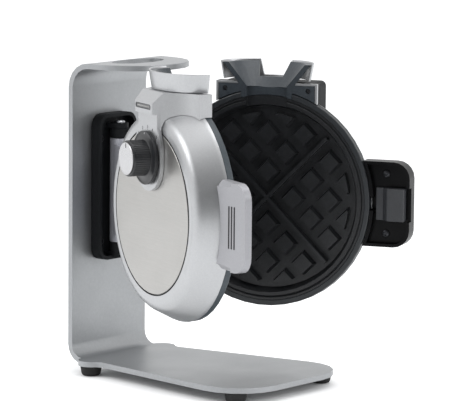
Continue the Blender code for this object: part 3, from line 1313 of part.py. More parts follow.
def catch_hook(near):
    """Make the steel hook that reaches from the near handle behind the latch's inner edge."""
    lip_near = FAR_HANDLE_FLOOR + CLEARANCE
    lip_far = lip_near + CATCH_LIP_THICKNESS
    outer = CATCH_ALONG + CATCH_THICKNESS
    outline = [
        (CATCH_ALONG, NEAR_HANDLE_IN + CATCH_ROOT),
        (CATCH_ALONG, -lip_far),
        (outer + CATCH_LIP, -lip_far),
        (outer + CATCH_LIP, -lip_near),
        (outer, -lip_near),
        (outer, NEAR_HANDLE_IN + CATCH_ROOT),
    ]
    hook = near.plan("catch_hook", outline, DISC_UP - CATCH_HALF_HEIGHT, DISC_UP + CATCH_HALF_HEIGHT,
                     "zinc_steel")
    hook.name = "catch_hook"


def far_tower(far):
    """Make the far half's silver tower wall round the funnel block."""
    half_width = TOWER_HALF_WIDTH
    low = (DISC_ALONG - half_width, PARTING_OUT, FAR_TOWER_BOTTOM)
    high = (DISC_ALONG + half_width, FAR_TOWER_OUT, FAR_TOWER_TOP)
    wall = far.box("tower_wall", low, high, "silver_paint")
    room = LINER_HALF_WIDTH + CLEARANCE
    inside = far.box("tower_room", (DISC_ALONG - room, -OVERRUN, FAR_TOWER_BOTTOM - OVERRUN),
                     (DISC_ALONG + room, LINER_OUT + CLEARANCE, LINER_TOP + CLEARANCE), None)
    cut(wall, inside, dome_seat(far, "wall_seat"), liner_cone(far, "wall_mouth", CLEARANCE, None))


def terminal_cover(far):
    """Make the black cover over the wiring terminals behind the far tower."""
    low = FAR_TOWER_OUT + CLEARANCE
    left = DISC_ALONG - TERMINAL_HALF_WIDTH
    right = DISC_ALONG + TERMINAL_HALF_WIDTH
    outline = rounded([(left, TERMINAL_BOTTOM, 0), (right, TERMINAL_BOTTOM, 0),
                       (right, FAR_TOWER_TOP, TERMINAL_CORNER), (left, FAR_TOWER_TOP, TERMINAL_CORNER)])
    cover = far.plate("terminal_cover", [outline], low, TERMINAL_OUT, "black_plastic")
    wall = TERMINAL_WALL
    room = far.box("terminal_room", (left + wall, low + wall, TERMINAL_BOTTOM - OVERRUN),
                   (right - wall, TERMINAL_OUT - wall, FAR_TOWER_TOP - wall), None)
    cut(cover, room, dome_seat(far, "terminal_seat"), liner_cone(far, "terminal_mouth", CLEARANCE, None))
    cover.name = "terminal_cover"


def build_half(half, rim_finish, liner_half_width, notched):
    """Make what both halves share and return the housing and its cover plate."""
    rim(half, rim_finish)
    plate_back = grid_plate(half, "non_stick")
    heater(half, plate_back)
    heat_shield(half)
    shell, cover = housing(half, "silver_paint")
    funnel_liner(half, liner_half_width, notched)
    spout(half, notched)
    return shell, cover


def centre_on_floor():
    """Shift everything so that the origin is on the floor, under the middle of the open machine."""
    for obj in PIECES.objects[:] + CUTTERS.objects[:]:
        if obj.parent is None:
            obj.location.x -= MIDDLE_ALONG
            obj.location.y -= MIDDLE_ACROSS


def main():
    """Build the stand, the two halves and everything that moves on them."""
    stand_frame()
    feet()
    hinge_bracket()
    near = Half("near", -1, NEAR_REST_DEGREES)
    far = Half("far", 1, FAR_REST_DEGREES)
    hinge_arms(near, far)
    shell, cover = build_half(near, "slate_plastic", NEAR_LINER_HALF_WIDTH, False)
    control_tower(near)
    indicator(near)
    thermostat_and_knob(near, shell, cover)
    near_handle(near)
    build_half(far, "black_plastic", LINER_HALF_WIDTH, True)
    far_tower(far)
    terminal_cover(far)
    far_handle(far)
    latch(far)
    centre_on_floor()


clear_scene()
PIECES = make_collection("upright_waffle_maker", False)
CUTTERS = make_collection("cutters", True)
main()
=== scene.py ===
"""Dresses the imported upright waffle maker: finishes, rounded edges, screws, dial print and studio."""

import logging
import math
from dataclasses import dataclass, field
from enum import Enum
from typing import Callable, Sequence

import bmesh
import bpy
from mathutils import Matrix, Vector


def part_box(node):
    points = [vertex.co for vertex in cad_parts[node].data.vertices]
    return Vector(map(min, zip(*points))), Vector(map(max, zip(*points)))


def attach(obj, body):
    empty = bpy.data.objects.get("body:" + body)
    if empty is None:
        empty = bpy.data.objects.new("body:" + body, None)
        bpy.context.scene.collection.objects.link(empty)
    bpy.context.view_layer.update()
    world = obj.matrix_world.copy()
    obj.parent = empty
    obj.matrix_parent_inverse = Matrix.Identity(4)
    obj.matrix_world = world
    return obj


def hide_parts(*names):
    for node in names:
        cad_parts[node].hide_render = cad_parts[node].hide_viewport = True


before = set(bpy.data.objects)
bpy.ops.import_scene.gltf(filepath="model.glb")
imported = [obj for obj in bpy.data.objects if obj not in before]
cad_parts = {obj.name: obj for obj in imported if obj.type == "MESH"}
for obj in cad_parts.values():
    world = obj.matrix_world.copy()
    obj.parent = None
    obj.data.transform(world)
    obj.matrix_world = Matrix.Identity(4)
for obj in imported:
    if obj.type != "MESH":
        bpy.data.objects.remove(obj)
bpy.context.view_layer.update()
LOG = logging.getLogger("waffle_maker")
Colour = tuple[float, float, float]
Place = tuple[float, float, float]


class Grain(Enum):
    """How the fine texture of a finish runs."""

    UPRIGHT_BRUSH = "upright_brush"
    LEVEL_BRUSH = "level_brush"
    SATIN = "satin"
    LACQUER = "lacquer"
    MOULDED = "moulded"
    COATED = "coated"


class Side(Enum):
    """The two swinging halves, with the sign of their outward direction."""

    NEAR = -1
    FAR = 1


GRAIN_STRETCH: dict[Grain, Place] = {
    Grain.UPRIGHT_BRUSH: (9.0, 9.0, 0.18),
    Grain.LEVEL_BRUSH: (0.18, 9.0, 9.0),
    Grain.SATIN: (1.0, 1.0, 1.0),
    Grain.LACQUER: (1.0, 1.0, 1.0),
    Grain.MOULDED: (1.0, 1.0, 1.0),
    Grain.COATED: (1.0, 1.0, 1.0),
}


@dataclass(frozen=True)
class Finish:
    """One surface finish with its colour range, gloss and fine texture."""

    name: str
    slot: str
    colour: Colour
    shade: Colour
    metallic: float
    roughness: float
    grain: Grain
    grain_scale: float
    relief: float
    spread: float = 0.06
    coat: float = 0.0
    coat_roughness: float = 0.1
    smudge: float = 0.25
    turn_degrees: float = 0.0
    rings: bool = False
    centre: Place = (0.0, 0.0, 0.0)
    transmission: float = 0.0
    specular: float = 0.5


class MaterialBench:
    """Builds the shared shader groups once and turns finishes into materials."""

    def __init__(self) -> None:
        """Prepare empty stores; the groups are made at once."""
        self.made: dict[str, bpy.types.Material] = {}
        self.grain = self._grain_group()
        self.smudge = self._smudge_group()
        self.wear = self._wear_group()
        self.rings = self._rings_group()

    @staticmethod
    def _new_group(name: str, inputs: Sequence[tuple[str, str, float]],
                   outputs: Sequence[str]) -> bpy.types.NodeTree:
        """Start a node group with named sockets.

        Args:
            name: The group's name.
            inputs: Socket names, short type names and default values.
            outputs: Names of the value outputs.

        Returns:
            The group with its input and output nodes in place.
        """
        group = bpy.data.node_groups.new(name, "ShaderNodeTree")
        for label, kind, value in inputs:
            socket = group.interface.new_socket(label, in_out="INPUT", socket_type="NodeSocket" + kind)
            if kind == "Float":
                socket.default_value = value
        for label in outputs:
            group.interface.new_socket(label, in_out="OUTPUT", socket_type="NodeSocketFloat")
        group.nodes.new("NodeGroupInput").name = "in"
        group.nodes.new("NodeGroupOutput").name = "out"
        return group

    @staticmethod
    def _math(tree: bpy.types.NodeTree, operation: str, first: object,
              second: object) -> bpy.types.NodeSocket:
        """Add a math node.

        Args:
            tree: The tree to add to.
            operation: Blender's name of the operation.
            first: A socket or a number.
            second: A socket or a number.

        Returns:
            The node's output socket.
        """
        node = tree.nodes.new("ShaderNodeMath")
        node.operation = operation
        for index, value in enumerate((first, second)):
            if isinstance(value, bpy.types.NodeSocket):
                tree.links.new(value, node.inputs[index])
            else:
                node.inputs[index].default_value = value
        return node.outputs[0]

    @staticmethod
    def _noise(tree: bpy.types.NodeTree, vector: bpy.types.NodeSocket, scale: object, detail: float,
               rough: float = 0.5) -> bpy.types.NodeSocket:
        """Add a noise texture.

        Args:
            tree: The tree to add to.
            vector: The coordinates.
            scale: A socket or a number.
            detail: Octaves of the noise.
            rough: How strong the finer octaves are.

        Returns:
            The noise value.
        """
        node = tree.nodes.new("ShaderNodeTexNoise")
        tree.links.new(vector, node.inputs["Vector"])
        if isinstance(scale, bpy.types.NodeSocket):
            tree.links.new(scale, node.inputs["Scale"])
        else:
            node.inputs["Scale"].default_value = scale
        node.inputs["Detail"].default_value = detail
        node.inputs["Roughness"].default_value = rough
        return node.outputs[0]

    @staticmethod
    def _range(tree: bpy.types.NodeTree, value: bpy.types.NodeSocket, low: float, high: float,
               to_low: float = 0.0, to_high: float = 1.0) -> bpy.types.NodeSocket:
        """Stretch a value range to another.

        Args:
            tree: The tree to add to.
            value: The value to stretch.
            low: Where the source range starts.
            high: Where the source range ends.
            to_low: What low becomes.
            to_high: What high becomes.

        Returns:
            The stretched value.
        """
        node = tree.nodes.new("ShaderNodeMapRange")
        tree.links.new(value, node.inputs["Value"])
        for label, number in (("From Min", low), ("From Max", high), ("To Min", to_low), ("To Max", to_high)):
            node.inputs[label].default_value = number
        return node.outputs[0]

    def _grain_group(self) -> bpy.types.NodeTree:
        """Make the fine texture: stretched noise at two sizes.

        Returns:
            The shared group.
        """
        tree = self._new_group("fine_grain",
                               [("Vector", "Vector", 0), ("Stretch", "Vector", 0), ("Scale", "Float", 400.0)],
                               ["Mask", "Height"])
        source = tree.nodes["in"].outputs
        stretch = tree.nodes.new("ShaderNodeVectorMath")
        stretch.operation = "MULTIPLY"
        tree.links.new(source["Vector"], stretch.inputs[0])
        tree.links.new(source["Stretch"], stretch.inputs[1])
        fine = self._noise(tree, stretch.outputs[0], source["Scale"], 3.0, 0.6)
        coarse = self._noise(tree, stretch.outputs[0], self._math(tree, "MULTIPLY", source["Scale"], 0.23),
                             2.0)
        both = self._math(tree, "ADD", self._math(tree, "MULTIPLY", fine, 0.65),
                          self._math(tree, "MULTIPLY", coarse, 0.35))
        tree.links.new(self._range(tree, both, 0.36, 0.64), tree.nodes["out"].inputs["Mask"])
        tree.links.new(both, tree.nodes["out"].inputs["Height"])
        return tree

    def _smudge_group(self) -> bpy.types.NodeTree:
        """Make soft patches where hands and cloths leave the gloss uneven.

        Returns:
            The shared group.
        """
        tree = self._new_group("handling_smudges", [("Vector", "Vector", 0), ("Scale", "Float", 22.0)],
                               ["Mask"])
        source = tree.nodes["in"].outputs
        broad = self._noise(tree, source["Vector"], source["Scale"], 3.0, 0.55)
        tree.links.new(self._range(tree, broad, 0.35, 0.72), tree.nodes["out"].inputs["Mask"])
        return tree

    def _wear_group(self) -> bpy.types.NodeTree:
        """Make sparse fine scuffs.

        Returns:
            The shared group.
        """
        tree = self._new_group("fine_scuffs",
                               [("Vector", "Vector", 0), ("Scale", "Float", 160.0), ("Amount", "Float", 0.2)],
                               ["Mask"])
        source = tree.nodes["in"].outputs
        fine = self._noise(tree, source["Vector"], source["Scale"], 5.0, 0.7)
        peaks = self._range(tree, fine, 0.60, 0.74)
        tree.links.new(self._math(tree, "MULTIPLY", peaks, source["Amount"]),
                       tree.nodes["out"].inputs["Mask"])
        return tree

    def _rings_group(self) -> bpy.types.NodeTree:
        """Make fine turned rings about the vector's Y axis, broken by a little noise.

        Returns:
            The shared group.
        """
        tree = self._new_group("turned_rings", [("Vector", "Vector", 0), ("Pitch", "Float", 5200.0)],
                               ["Mask", "Height"])
        source = tree.nodes["in"].outputs
        split = tree.nodes.new("ShaderNodeSeparateXYZ")
        tree.links.new(source["Vector"], split.inputs[0])
        square = self._math(tree, "ADD", self._math(tree, "MULTIPLY", split.outputs["X"], split.outputs["X"]),
                            self._math(tree, "MULTIPLY", split.outputs["Z"], split.outputs["Z"]))
        radius = self._math(tree, "SQRT", square, 0.0)
        waves = self._math(tree, "SINE", self._math(tree, "MULTIPLY", radius, source["Pitch"]), 0.0)
        uneven = self._noise(tree, source["Vector"], 90.0, 2.0)
        soft = self._math(tree, "MULTIPLY", self._range(tree, waves, -1.0, 1.0), uneven)
        tree.links.new(soft, tree.nodes["out"].inputs["Mask"])
        tree.links.new(soft, tree.nodes["out"].inputs["Height"])
        return tree

    def _place_group(self, tree: bpy.types.NodeTree, group: bpy.types.NodeTree, vector: bpy.types.NodeSocket,
                     **values: float) -> bpy.types.Node:
        """Put a shared group into a material.

        Args:
            tree: The material's tree.
            group: The shared group.
            vector: The coordinates it reads.
            **values: Its named numbers.

        Returns:
            The group node.
        """
        node = tree.nodes.new("ShaderNodeGroup")
        node.node_tree = group
        tree.links.new(vector, node.inputs["Vector"])
        for label, value in values.items():
            node.inputs[label].default_value = value
        return node

    @staticmethod
    def _mix(tree: bpy.types.NodeTree, factor: bpy.types.NodeSocket, first: object,
             second: object) -> bpy.types.NodeSocket:
        """Mix two colours.

        Args:
            tree: The tree to add to.
            factor: The mixing value.
            first: A colour or socket.
            second: A colour or socket.

        Returns:
            The mixed colour.
        """
        node = tree.nodes.new("ShaderNodeMix")
        node.data_type = "RGBA"
        tree.links.new(factor, node.inputs[0])
        for index, value in ((6, first), (7, second)):
            if isinstance(value, bpy.types.NodeSocket):
                tree.links.new(value, node.inputs[index])
            else:
                node.inputs[index].default_value = (*value, 1.0)
        return node.outputs[2]

    def material(self, finish: Finish) -> bpy.types.Material:
        """Give the material of a finish, making it the first time.

        Args:
            finish: The finish wanted.

        Returns:
            Its material.
        """
        if finish.name in self.made:
            return self.made[finish.name]
        made = bpy.data.materials.new(finish.name)
        made.use_nodes = True
        tree = made.node_tree
        shader = tree.nodes["Principled BSDF"]
        place = tree.nodes.new("ShaderNodeTexCoord")
        mapping = tree.nodes.new("ShaderNodeMapping")
        mapping.vector_type = "TEXTURE"
        mapping.inputs["Location"].default_value = finish.centre
        mapping.inputs["Rotation"].default_value = (0.0, 0.0, math.radians(finish.turn_degrees))
        tree.links.new(place.outputs["Object"], mapping.inputs["Vector"])
        vector = mapping.outputs[0]
        smudge = self._place_group(tree, self.smudge, vector, Scale=24.0).outputs["Mask"]
        scuffs = self._place_group(tree, self.wear, vector, Scale=210.0, Amount=0.5).outputs["Mask"]
        if finish.rings:
            fine = self._place_group(tree, self.rings, vector, Pitch=finish.grain_scale)
        else:
            fine = self._place_group(tree, self.grain, vector, Scale=finish.grain_scale)
            fine.inputs["Stretch"].default_value = GRAIN_STRETCH[finish.grain]
        colour = self._mix(tree, fine.outputs["Mask"], finish.shade, finish.colour)
        worn = tuple(min(1.0, value * 1.10 + 0.004) for value in finish.colour)
        colour = self._mix(tree, scuffs, colour, worn)
        tree.links.new(colour, shader.inputs["Base Color"])
        gloss = self._range(tree, smudge, 0.0, 1.0, finish.roughness - finish.spread * finish.smudge,
                            finish.roughness + finish.spread)
        gloss = self._math(tree, "ADD", gloss,
                           self._math(tree, "MULTIPLY", fine.outputs["Mask"], finish.spread * 0.6))
        tree.links.new(gloss, shader.inputs["Roughness"])
        bump = tree.nodes.new("ShaderNodeBump")
        bump.inputs["Strength"].default_value = finish.relief
        bump.inputs["Distance"].default_value = 0.0003
        tree.links.new(fine.outputs["Height"], bump.inputs["Height"])
        tree.links.new(bump.outputs[0], shader.inputs["Normal"])
        shader.inputs["Metallic"].default_value = finish.metallic
        shader.inputs["Specular IOR Level"].default_value = finish.specular
        shader.inputs["Coat Weight"].default_value = finish.coat
        shader.inputs["Coat Roughness"].default_value = finish.coat_roughness
        shader.inputs["Transmission Weight"].default_value = finish.transmission
        self.made[finish.name] = made
        return made


# The finishes, by the surface that they cover
SATIN_ALUMINIUM = Finish("satin_aluminium_skin", "satin_aluminium", (0.410, 0.421, 0.432),
                         (0.362, 0.372, 0.383), 0.85, 0.38,
                         Grain.SATIN, 1500.0, 0.07)
SILVER_LACQUER = Finish("silver_lacquer", "silver_paint", (0.520, 0.527, 0.538), (0.460, 0.467, 0.478), 0.80,
                        0.34,
                        Grain.LACQUER, 2600.0, 0.04, coat=0.15, coat_roughness=0.25)
HANDLE_LACQUER = Finish("handle_lacquer", "silver_paint", (0.405, 0.405, 0.428), (0.360, 0.360, 0.380), 0.45,
                        0.36,
                        Grain.LACQUER, 2600.0, 0.04, coat=0.15)
COVER_STEEL = Finish("brushed_cover_steel", "brushed_steel", (0.455, 0.447, 0.432), (0.405, 0.398, 0.386),
                     0.92, 0.30,
                     Grain.LEVEL_BRUSH, 620.0, 0.06, turn_degrees=-24.0)
FAR_COVER_STEEL = Finish("far_cover_steel", "brushed_steel", (0.455, 0.447, 0.432), (0.405, 0.398, 0.386),
                         0.92, 0.30,
                         Grain.LEVEL_BRUSH, 620.0, 0.06, turn_degrees=20.0)
SCREW_ZINC = Finish("bright_zinc", "zinc_steel", (0.560, 0.570, 0.590), (0.400, 0.410, 0.430), 1.0, 0.32,
                    Grain.SATIN, 1900.0, 0.10)
BLACK_SCREW = Finish("blackened_screw", "zinc_steel", (0.060, 0.062, 0.068), (0.030, 0.031, 0.035), 0.80,
                     0.34,
                     Grain.SATIN, 1900.0, 0.10)
BLACK_SATIN = Finish("black_satin_moulding", "black_plastic", (0.015, 0.016, 0.018), (0.010, 0.011, 0.012),
                     0.0, 0.50,
                     Grain.MOULDED, 1400.0, 0.10, specular=0.12)
BLACK_GLOSS = Finish("black_gloss_moulding", "black_plastic", (0.004, 0.004, 0.005), (0.003, 0.003, 0.003),
                     0.0, 0.30,
                     Grain.MOULDED, 900.0, 0.03, specular=0.12)
KNOB_CHARCOAL = Finish("knob_charcoal", "black_plastic", (0.024, 0.025, 0.028), (0.012, 0.013, 0.015), 0.0,
                       0.33,
                       Grain.MOULDED, 1200.0, 0.08)
SLATE = Finish("slate_moulding", "slate_plastic", (0.052, 0.068, 0.080), (0.036, 0.048, 0.058), 0.0, 0.36,
               Grain.MOULDED, 1300.0, 0.07)
LATCH_GREY = Finish("latch_grey", "slate_plastic", (0.045, 0.047, 0.052), (0.034, 0.036, 0.040), 0.0, 0.34,
                    Grain.MOULDED, 1300.0, 0.06)
DARK_LINER = Finish("dark_liner_moulding", "dark_liner", (0.050, 0.060, 0.070), (0.030, 0.037, 0.045), 0.0,
                    0.30,
                    Grain.MOULDED, 1300.0, 0.06)
RIM_SLATE = Finish("rim_slate_moulding", "black_plastic", (0.030, 0.034, 0.038), (0.020, 0.023, 0.026), 0.0,
                   0.36,
                   Grain.MOULDED, 1300.0, 0.06)
NON_STICK = Finish("non_stick_coating", "non_stick", (0.026, 0.027, 0.030), (0.012, 0.013, 0.014), 0.15, 0.34,
                   Grain.COATED, 1700.0, 0.16)
FOOT_RUBBER = Finish("foot_rubber_skin", "foot_rubber", (0.016, 0.016, 0.016), (0.008, 0.008, 0.008), 0.0,
                     0.72,
                     Grain.MOULDED, 900.0, 0.22)
BARREL_GREY = Finish("barrel_lacquer", "silver_paint", (0.520, 0.525, 0.570), (0.430, 0.434, 0.475), 0.30,
                     0.36,
                     Grain.LACQUER, 2400.0, 0.04)
# Lighter grey strip laid along the indicator lens: a painted highlight, the lens's reflected line of light
LENS_HIGHLIGHT_FINISH = Finish("indicator_lens_highlight", "smoked_lens", (0.330, 0.325, 0.315), (0.290, 0.286, 0.278),
                     0.0, 0.25,
                     Grain.MOULDED, 900.0, 0.02)
GROOVE_SHADE = Finish("grip_groove_shade", "silver_paint", (0.050, 0.048, 0.052), (0.034, 0.033, 0.036), 0.0,
                      0.55,
                      Grain.MOULDED, 900.0, 0.04, specular=0.2)
SMOKED_LENS = Finish("smoked_lens_skin", "smoked_lens", (0.060, 0.062, 0.068), (0.034, 0.036, 0.040), 0.0,
                     0.10,
                     Grain.COATED, 900.0, 0.02, coat=0.4, coat_roughness=0.05)
LAMP_AMBER = Finish("lamp_amber", "smoked_lens", (0.360, 0.120, 0.020), (0.240, 0.080, 0.012), 0.0, 0.20,
                    Grain.COATED, 900.0, 0.02)
HEATER_SKIN = Finish("heater_oxide", "heater_metal", (0.220, 0.200, 0.180), (0.110, 0.095, 0.085), 0.85, 0.46,
                     Grain.SATIN, 1100.0, 0.20)
SHIELD_STEEL = Finish("shield_steel", "zinc_steel", (0.520, 0.525, 0.530), (0.420, 0.425, 0.430), 1.0, 0.36,
                      Grain.LEVEL_BRUSH, 220.0, 0.12)
SWITCH_BROWN = Finish("switch_phenolic", "switch_brown", (0.110, 0.050, 0.030), (0.060, 0.028, 0.017), 0.0,
                      0.45,
                      Grain.MOULDED, 1100.0, 0.12)
DIAL_INK = Finish("dial_ink", "black_plastic", (0.050, 0.052, 0.060), (0.034, 0.036, 0.042), 0.0, 0.50,
                  Grain.MOULDED, 1500.0, 0.04)
POINTER_PAINT = Finish("pointer_paint", "brushed_steel", (0.700, 0.700, 0.710), (0.600, 0.600, 0.610), 0.0,
                       0.42,
                       Grain.MOULDED, 1500.0, 0.04)


def deselect_all() -> None:
    """Leave edit mode and clear the selection."""
    if bpy.context.object is not None and bpy.context.object.mode != "OBJECT":
        bpy.ops.object.mode_set(mode="OBJECT")
    bpy.ops.object.select_all(action="DESELECT")


def make_active(piece: bpy.types.Object) -> None:
    """Select one piece alone and make it active.

    Args:
        piece: The piece.
    """
    deselect_all()
    piece.select_set(True)
    bpy.context.view_layer.objects.active = piece


def edit(piece: bpy.types.Object, mode: str = "VERT") -> None:
    """Open a piece in edit mode with nothing selected.

    Args:
        piece: The piece to edit.
        mode: The kind of element to select: VERT, EDGE or FACE.
    """
    make_active(piece)
    bpy.ops.object.mode_set(mode="EDIT")
    bpy.ops.mesh.select_mode(type=mode)
    bpy.ops.mesh.select_all(action="DESELECT")


def choose_faces(piece: bpy.types.Object, wanted: Callable[[bmesh.types.BMFace], bool]) -> int:
    """Select the faces of the piece in edit mode that a test picks.

    Args:
        piece: The piece that is in edit mode.
        wanted: The test on one face.

    Returns:
        How many faces were picked.
    """
    shape = bmesh.from_edit_mesh(piece.data)
    count = 0
    for face in shape.faces:
        picked = bool(wanted(face))
        face.select_set(picked)
        count += picked
    shape.select_flush_mode()
    bmesh.update_edit_mesh(piece.data)
    return count


def apply_modifier(piece: bpy.types.Object, kind: str, **values: object) -> None:
    """Add a modifier with the given values and apply it.

    Args:
        piece: The piece it works on.
        kind: Blender's type name of the modifier.
        **values: The modifier's settings.
    """
    make_active(piece)
    modifier = piece.modifiers.new("shape", kind)
    for label, value in values.items():
        setattr(modifier, label, value)
    bpy.ops.object.modifier_apply(modifier=modifier.name)


def settle(piece: bpy.types.Object, matrix: Matrix) -> bpy.types.Object:
    """Move a piece to its place through its mesh, so that its object stays at the origin.

    Args:
        piece: A piece modelled about its own centre.
        matrix: Where it goes.

    Returns:
        The same piece.
    """
    make_active(piece)
    piece.matrix_world = matrix @ piece.matrix_world
    bpy.ops.object.transform_apply(location=True, rotation=True, scale=True)
    return piece


def smooth(piece: bpy.types.Object, degrees: float = 32.0) -> None:
    """Shade a piece smooth, apart from edges sharper than an angle.

    Args:
        piece: The piece.
        degrees: The angle.
    """
    make_active(piece)
    bpy.ops.object.shade_smooth_by_angle(angle=math.radians(degrees))


def is_closed(piece: bpy.types.Object) -> bool:
    """Say whether every edge of a piece joins two faces.

    Args:
        piece: The piece.

    Returns:
        Whether it is closed.
    """
    shape = bmesh.new()
    shape.from_mesh(piece.data)
    closed = all(edge.is_manifold for edge in shape.edges)
    shape.free()
    return closed


def finish_piece(piece: bpy.types.Object, name: str, body: str, bench: MaterialBench,
                 finish: Finish) -> bpy.types.Object:
    """Name a piece, give it its finish and put it on its body.

    Args:
        piece: The modelled piece.
        name: Its name.
        body: The body that it rides on.
        bench: The maker of materials.
        finish: The finish.

    Returns:
        The same piece.
    """
    piece.name = name
    piece.data.name = name
    piece.data.materials.clear()
    piece.data.materials.append(bench.material(finish))
    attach(piece, body)
    LOG.info("%s rides on %s", name, body)
    return piece


def paint(bench: MaterialBench, finish: Finish, *nodes: str) -> None:
    """Give CAD nodes a finish and leave their shape.

    Args:
        bench: The maker of materials.
        finish: The finish.
        *nodes: The nodes' names.
    """
    for node in nodes:
        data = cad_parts[node].data
        data.materials.clear()
        data.materials.append(bench.material(finish))
        LOG.info("%s painted %s", node, finish.name)


def rounded_copy(node: str, width: float, body: str, bench: MaterialBench, finish: Finish, segments: int = 3,
                 limit_degrees: float = 32.0) -> bpy.types.Object | None:
    """Model a node's skin again with its edges rounded; the plain node stays if that leaves a hole.

    Args:
        node: The CAD node.
        width: How wide the rounding is, in metres.
        body: The body that it rides on.
        bench: The maker of materials.
        finish: The finish.
        segments: Faces across each rounding.
        limit_degrees: Only edges sharper than this are rounded.

    Returns:
        The new piece, or None where the node itself is kept.
    """
    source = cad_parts[node]
    piece = bpy.data.objects.new(node + "_skin", source.data.copy())
    bpy.context.scene.collection.objects.link(piece)
    edit(piece)
    bpy.ops.mesh.select_all(action="SELECT")
    bpy.ops.mesh.remove_doubles(threshold=0.00001)
    bpy.ops.mesh.dissolve_limited(angle_limit=math.radians(0.6))
    deselect_all()
    if hasattr(piece.data, "has_custom_normals") and piece.data.has_custom_normals:
        make_active(piece)
        bpy.ops.mesh.customdata_custom_splitnormals_clear()
    apply_modifier(piece, "BEVEL", width=width, segments=segments, limit_method="ANGLE",
                   angle_limit=math.radians(limit_degrees), use_clamp_overlap=True, miter_outer="MITER_ARC",
                   harden_normals=False)
    if not is_closed(piece):
        LOG.info("%s keeps its plain skin", node)
        bpy.data.objects.remove(piece)
        paint(bench, finish, node)
        return None
    smooth(piece)
    apply_modifier(piece, "WEIGHTED_NORMAL", mode="FACE_AREA_WITH_ANGLE", weight=60, keep_sharp=True)
    finish_piece(piece, node + "_skin", body, bench, finish)
    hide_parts(node)
    return piece


@dataclass(frozen=True)
class HalfPlace:
    """Where a swinging half stands: its pivot, its angle and the centre of its disc."""

    side: Side
    degrees: float
    pivot: Place = (-0.1282, 0.0075, 0.0)
    disc_along: float = 0.149
    disc_up: float = 0.173

    def matrix(self) -> Matrix:
        """Give the matrix from (along, +-out, up) sizes to the frame.

        Returns:
            The matrix.
        """
        return Matrix.Translation(self.pivot) @ Matrix.Rotation(math.radians(self.degrees), 4, "Z")

    def outward(self, along: float, out: float, up: float) -> Matrix:
        """Give the matrix that stands a piece modelled along +Z outwards at a place.

        Args:
            along: Distance from the hinge axis.
            out: Distance from the parting plane.
            up: Height above the floor.

        Returns:
            The matrix for settle.
        """
        turn = Matrix.Rotation(math.radians(-90.0 * self.side.value), 4, "X")
        return self.matrix() @ Matrix.Translation((along, self.side.value * out, up)) @ turn

    def inward(self, along: float, out: float, up: float) -> Matrix:
        """Give the matrix that stands a piece modelled along +Z towards the parting plane at a place.

        Args:
            along: Distance from the hinge axis.
            out: Distance from the parting plane.
            up: Height above the floor.

        Returns:
            The matrix for settle.
        """
        turn = Matrix.Rotation(math.radians(90.0 * self.side.value), 4, "X")
        return self.matrix() @ Matrix.Translation((along, self.side.value * out, up)) @ turn


NEAR = HalfPlace(Side.NEAR, -24.0)
FAR = HalfPlace(Side.FAR, 20.0)


@dataclass
class CrossScrew:
    """A pan-head screw with a cross recess, modelled once for a size and copied."""

    head_radius: float
    head_height: float
    shank_radius: float
    shank_length: float
    bench: MaterialBench
    finish: Finish
    crown: float = 0.45
    recess_share: float = 0.58
    recess_width_share: float = 0.20
    steps: int = 28
    pattern: bpy.types.Object | None = field(default=None, init=False)

    def model(self) -> bpy.types.Object:
        """Make the pattern screw, its seat at the origin and its head up.

        Returns:
            The pattern.
        """
        deselect_all()
        bpy.ops.mesh.primitive_cylinder_add(vertices=self.steps, radius=self.head_radius,
                                            depth=self.head_height,
                                            location=(0.0, 0.0, self.head_height / 2))
        screw = bpy.context.object
        bpy.ops.object.transform_apply(location=True)
        edit(screw, "FACE")
        choose_faces(screw, lambda face: face.normal.z < -0.9)
        bpy.ops.mesh.inset(thickness=self.head_radius - self.shank_radius)
        bpy.ops.mesh.extrude_region_move(TRANSFORM_OT_translate={"value": (0.0, 0.0, -self.shank_length)})
        bpy.ops.mesh.select_all(action="DESELECT")
        choose_faces(screw,
                     lambda face: face.normal.z > 0.9 and face.calc_center_median().z > self.head_height * 0.9)
        inset = self.head_radius * self.crown
        bpy.ops.transform.translate(value=(0.0, 0.0, -self.head_height * self.crown))
        bpy.ops.mesh.inset(thickness=inset * 0.5, depth=self.head_height * self.crown * 0.62)
        bpy.ops.mesh.inset(thickness=inset * 0.5, depth=self.head_height * self.crown * 0.36)
        deselect_all()
        reach = self.head_radius * self.recess_share * 2
        slot_width = self.head_radius * self.recess_width_share * 2
        for turn in (0.0, 90.0):
            bpy.ops.mesh.primitive_cube_add(size=1.0, location=(0.0, 0.0, self.head_height * 0.86))
            bar = bpy.context.object
            bar.scale = (reach, slot_width, self.head_height * 0.8)
            bar.rotation_euler = (0.0, 0.0, math.radians(turn + 17.0))
            apply_modifier(screw, "BOOLEAN", operation="DIFFERENCE", solver="EXACT", object=bar)
            bpy.data.objects.remove(bar)
        apply_modifier(screw, "BEVEL", width=self.head_radius * 0.035, segments=2, limit_method="ANGLE",
                       angle_limit=math.radians(40.0))
        smooth(screw, 35.0)
        screw.name = "screw_pattern"
        return screw

    def place(self, node: str, body: str, matrix: Matrix) -> bpy.types.Object:
        """Set a copy of the screw where a CAD screw is.

        Args:
            node: The CAD screw that it stands for.
            body: The body that it rides on.
            matrix: Where its seat goes.

        Returns:
            The copy.
        """
        if self.pattern is None:
            self.pattern = self.model()
        copy = bpy.data.objects.new(node + "_cross", self.pattern.data.copy())
        bpy.context.scene.collection.objects.link(copy)
        settle(copy, matrix)
        finish_piece(copy, node + "_cross", body, self.bench, self.finish)
        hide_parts(node)
        return copy

    def clear(self) -> None:
        """Remove the pattern once its copies are made."""
        if self.pattern is not None:
            bpy.data.objects.remove(self.pattern)
            self.pattern = None


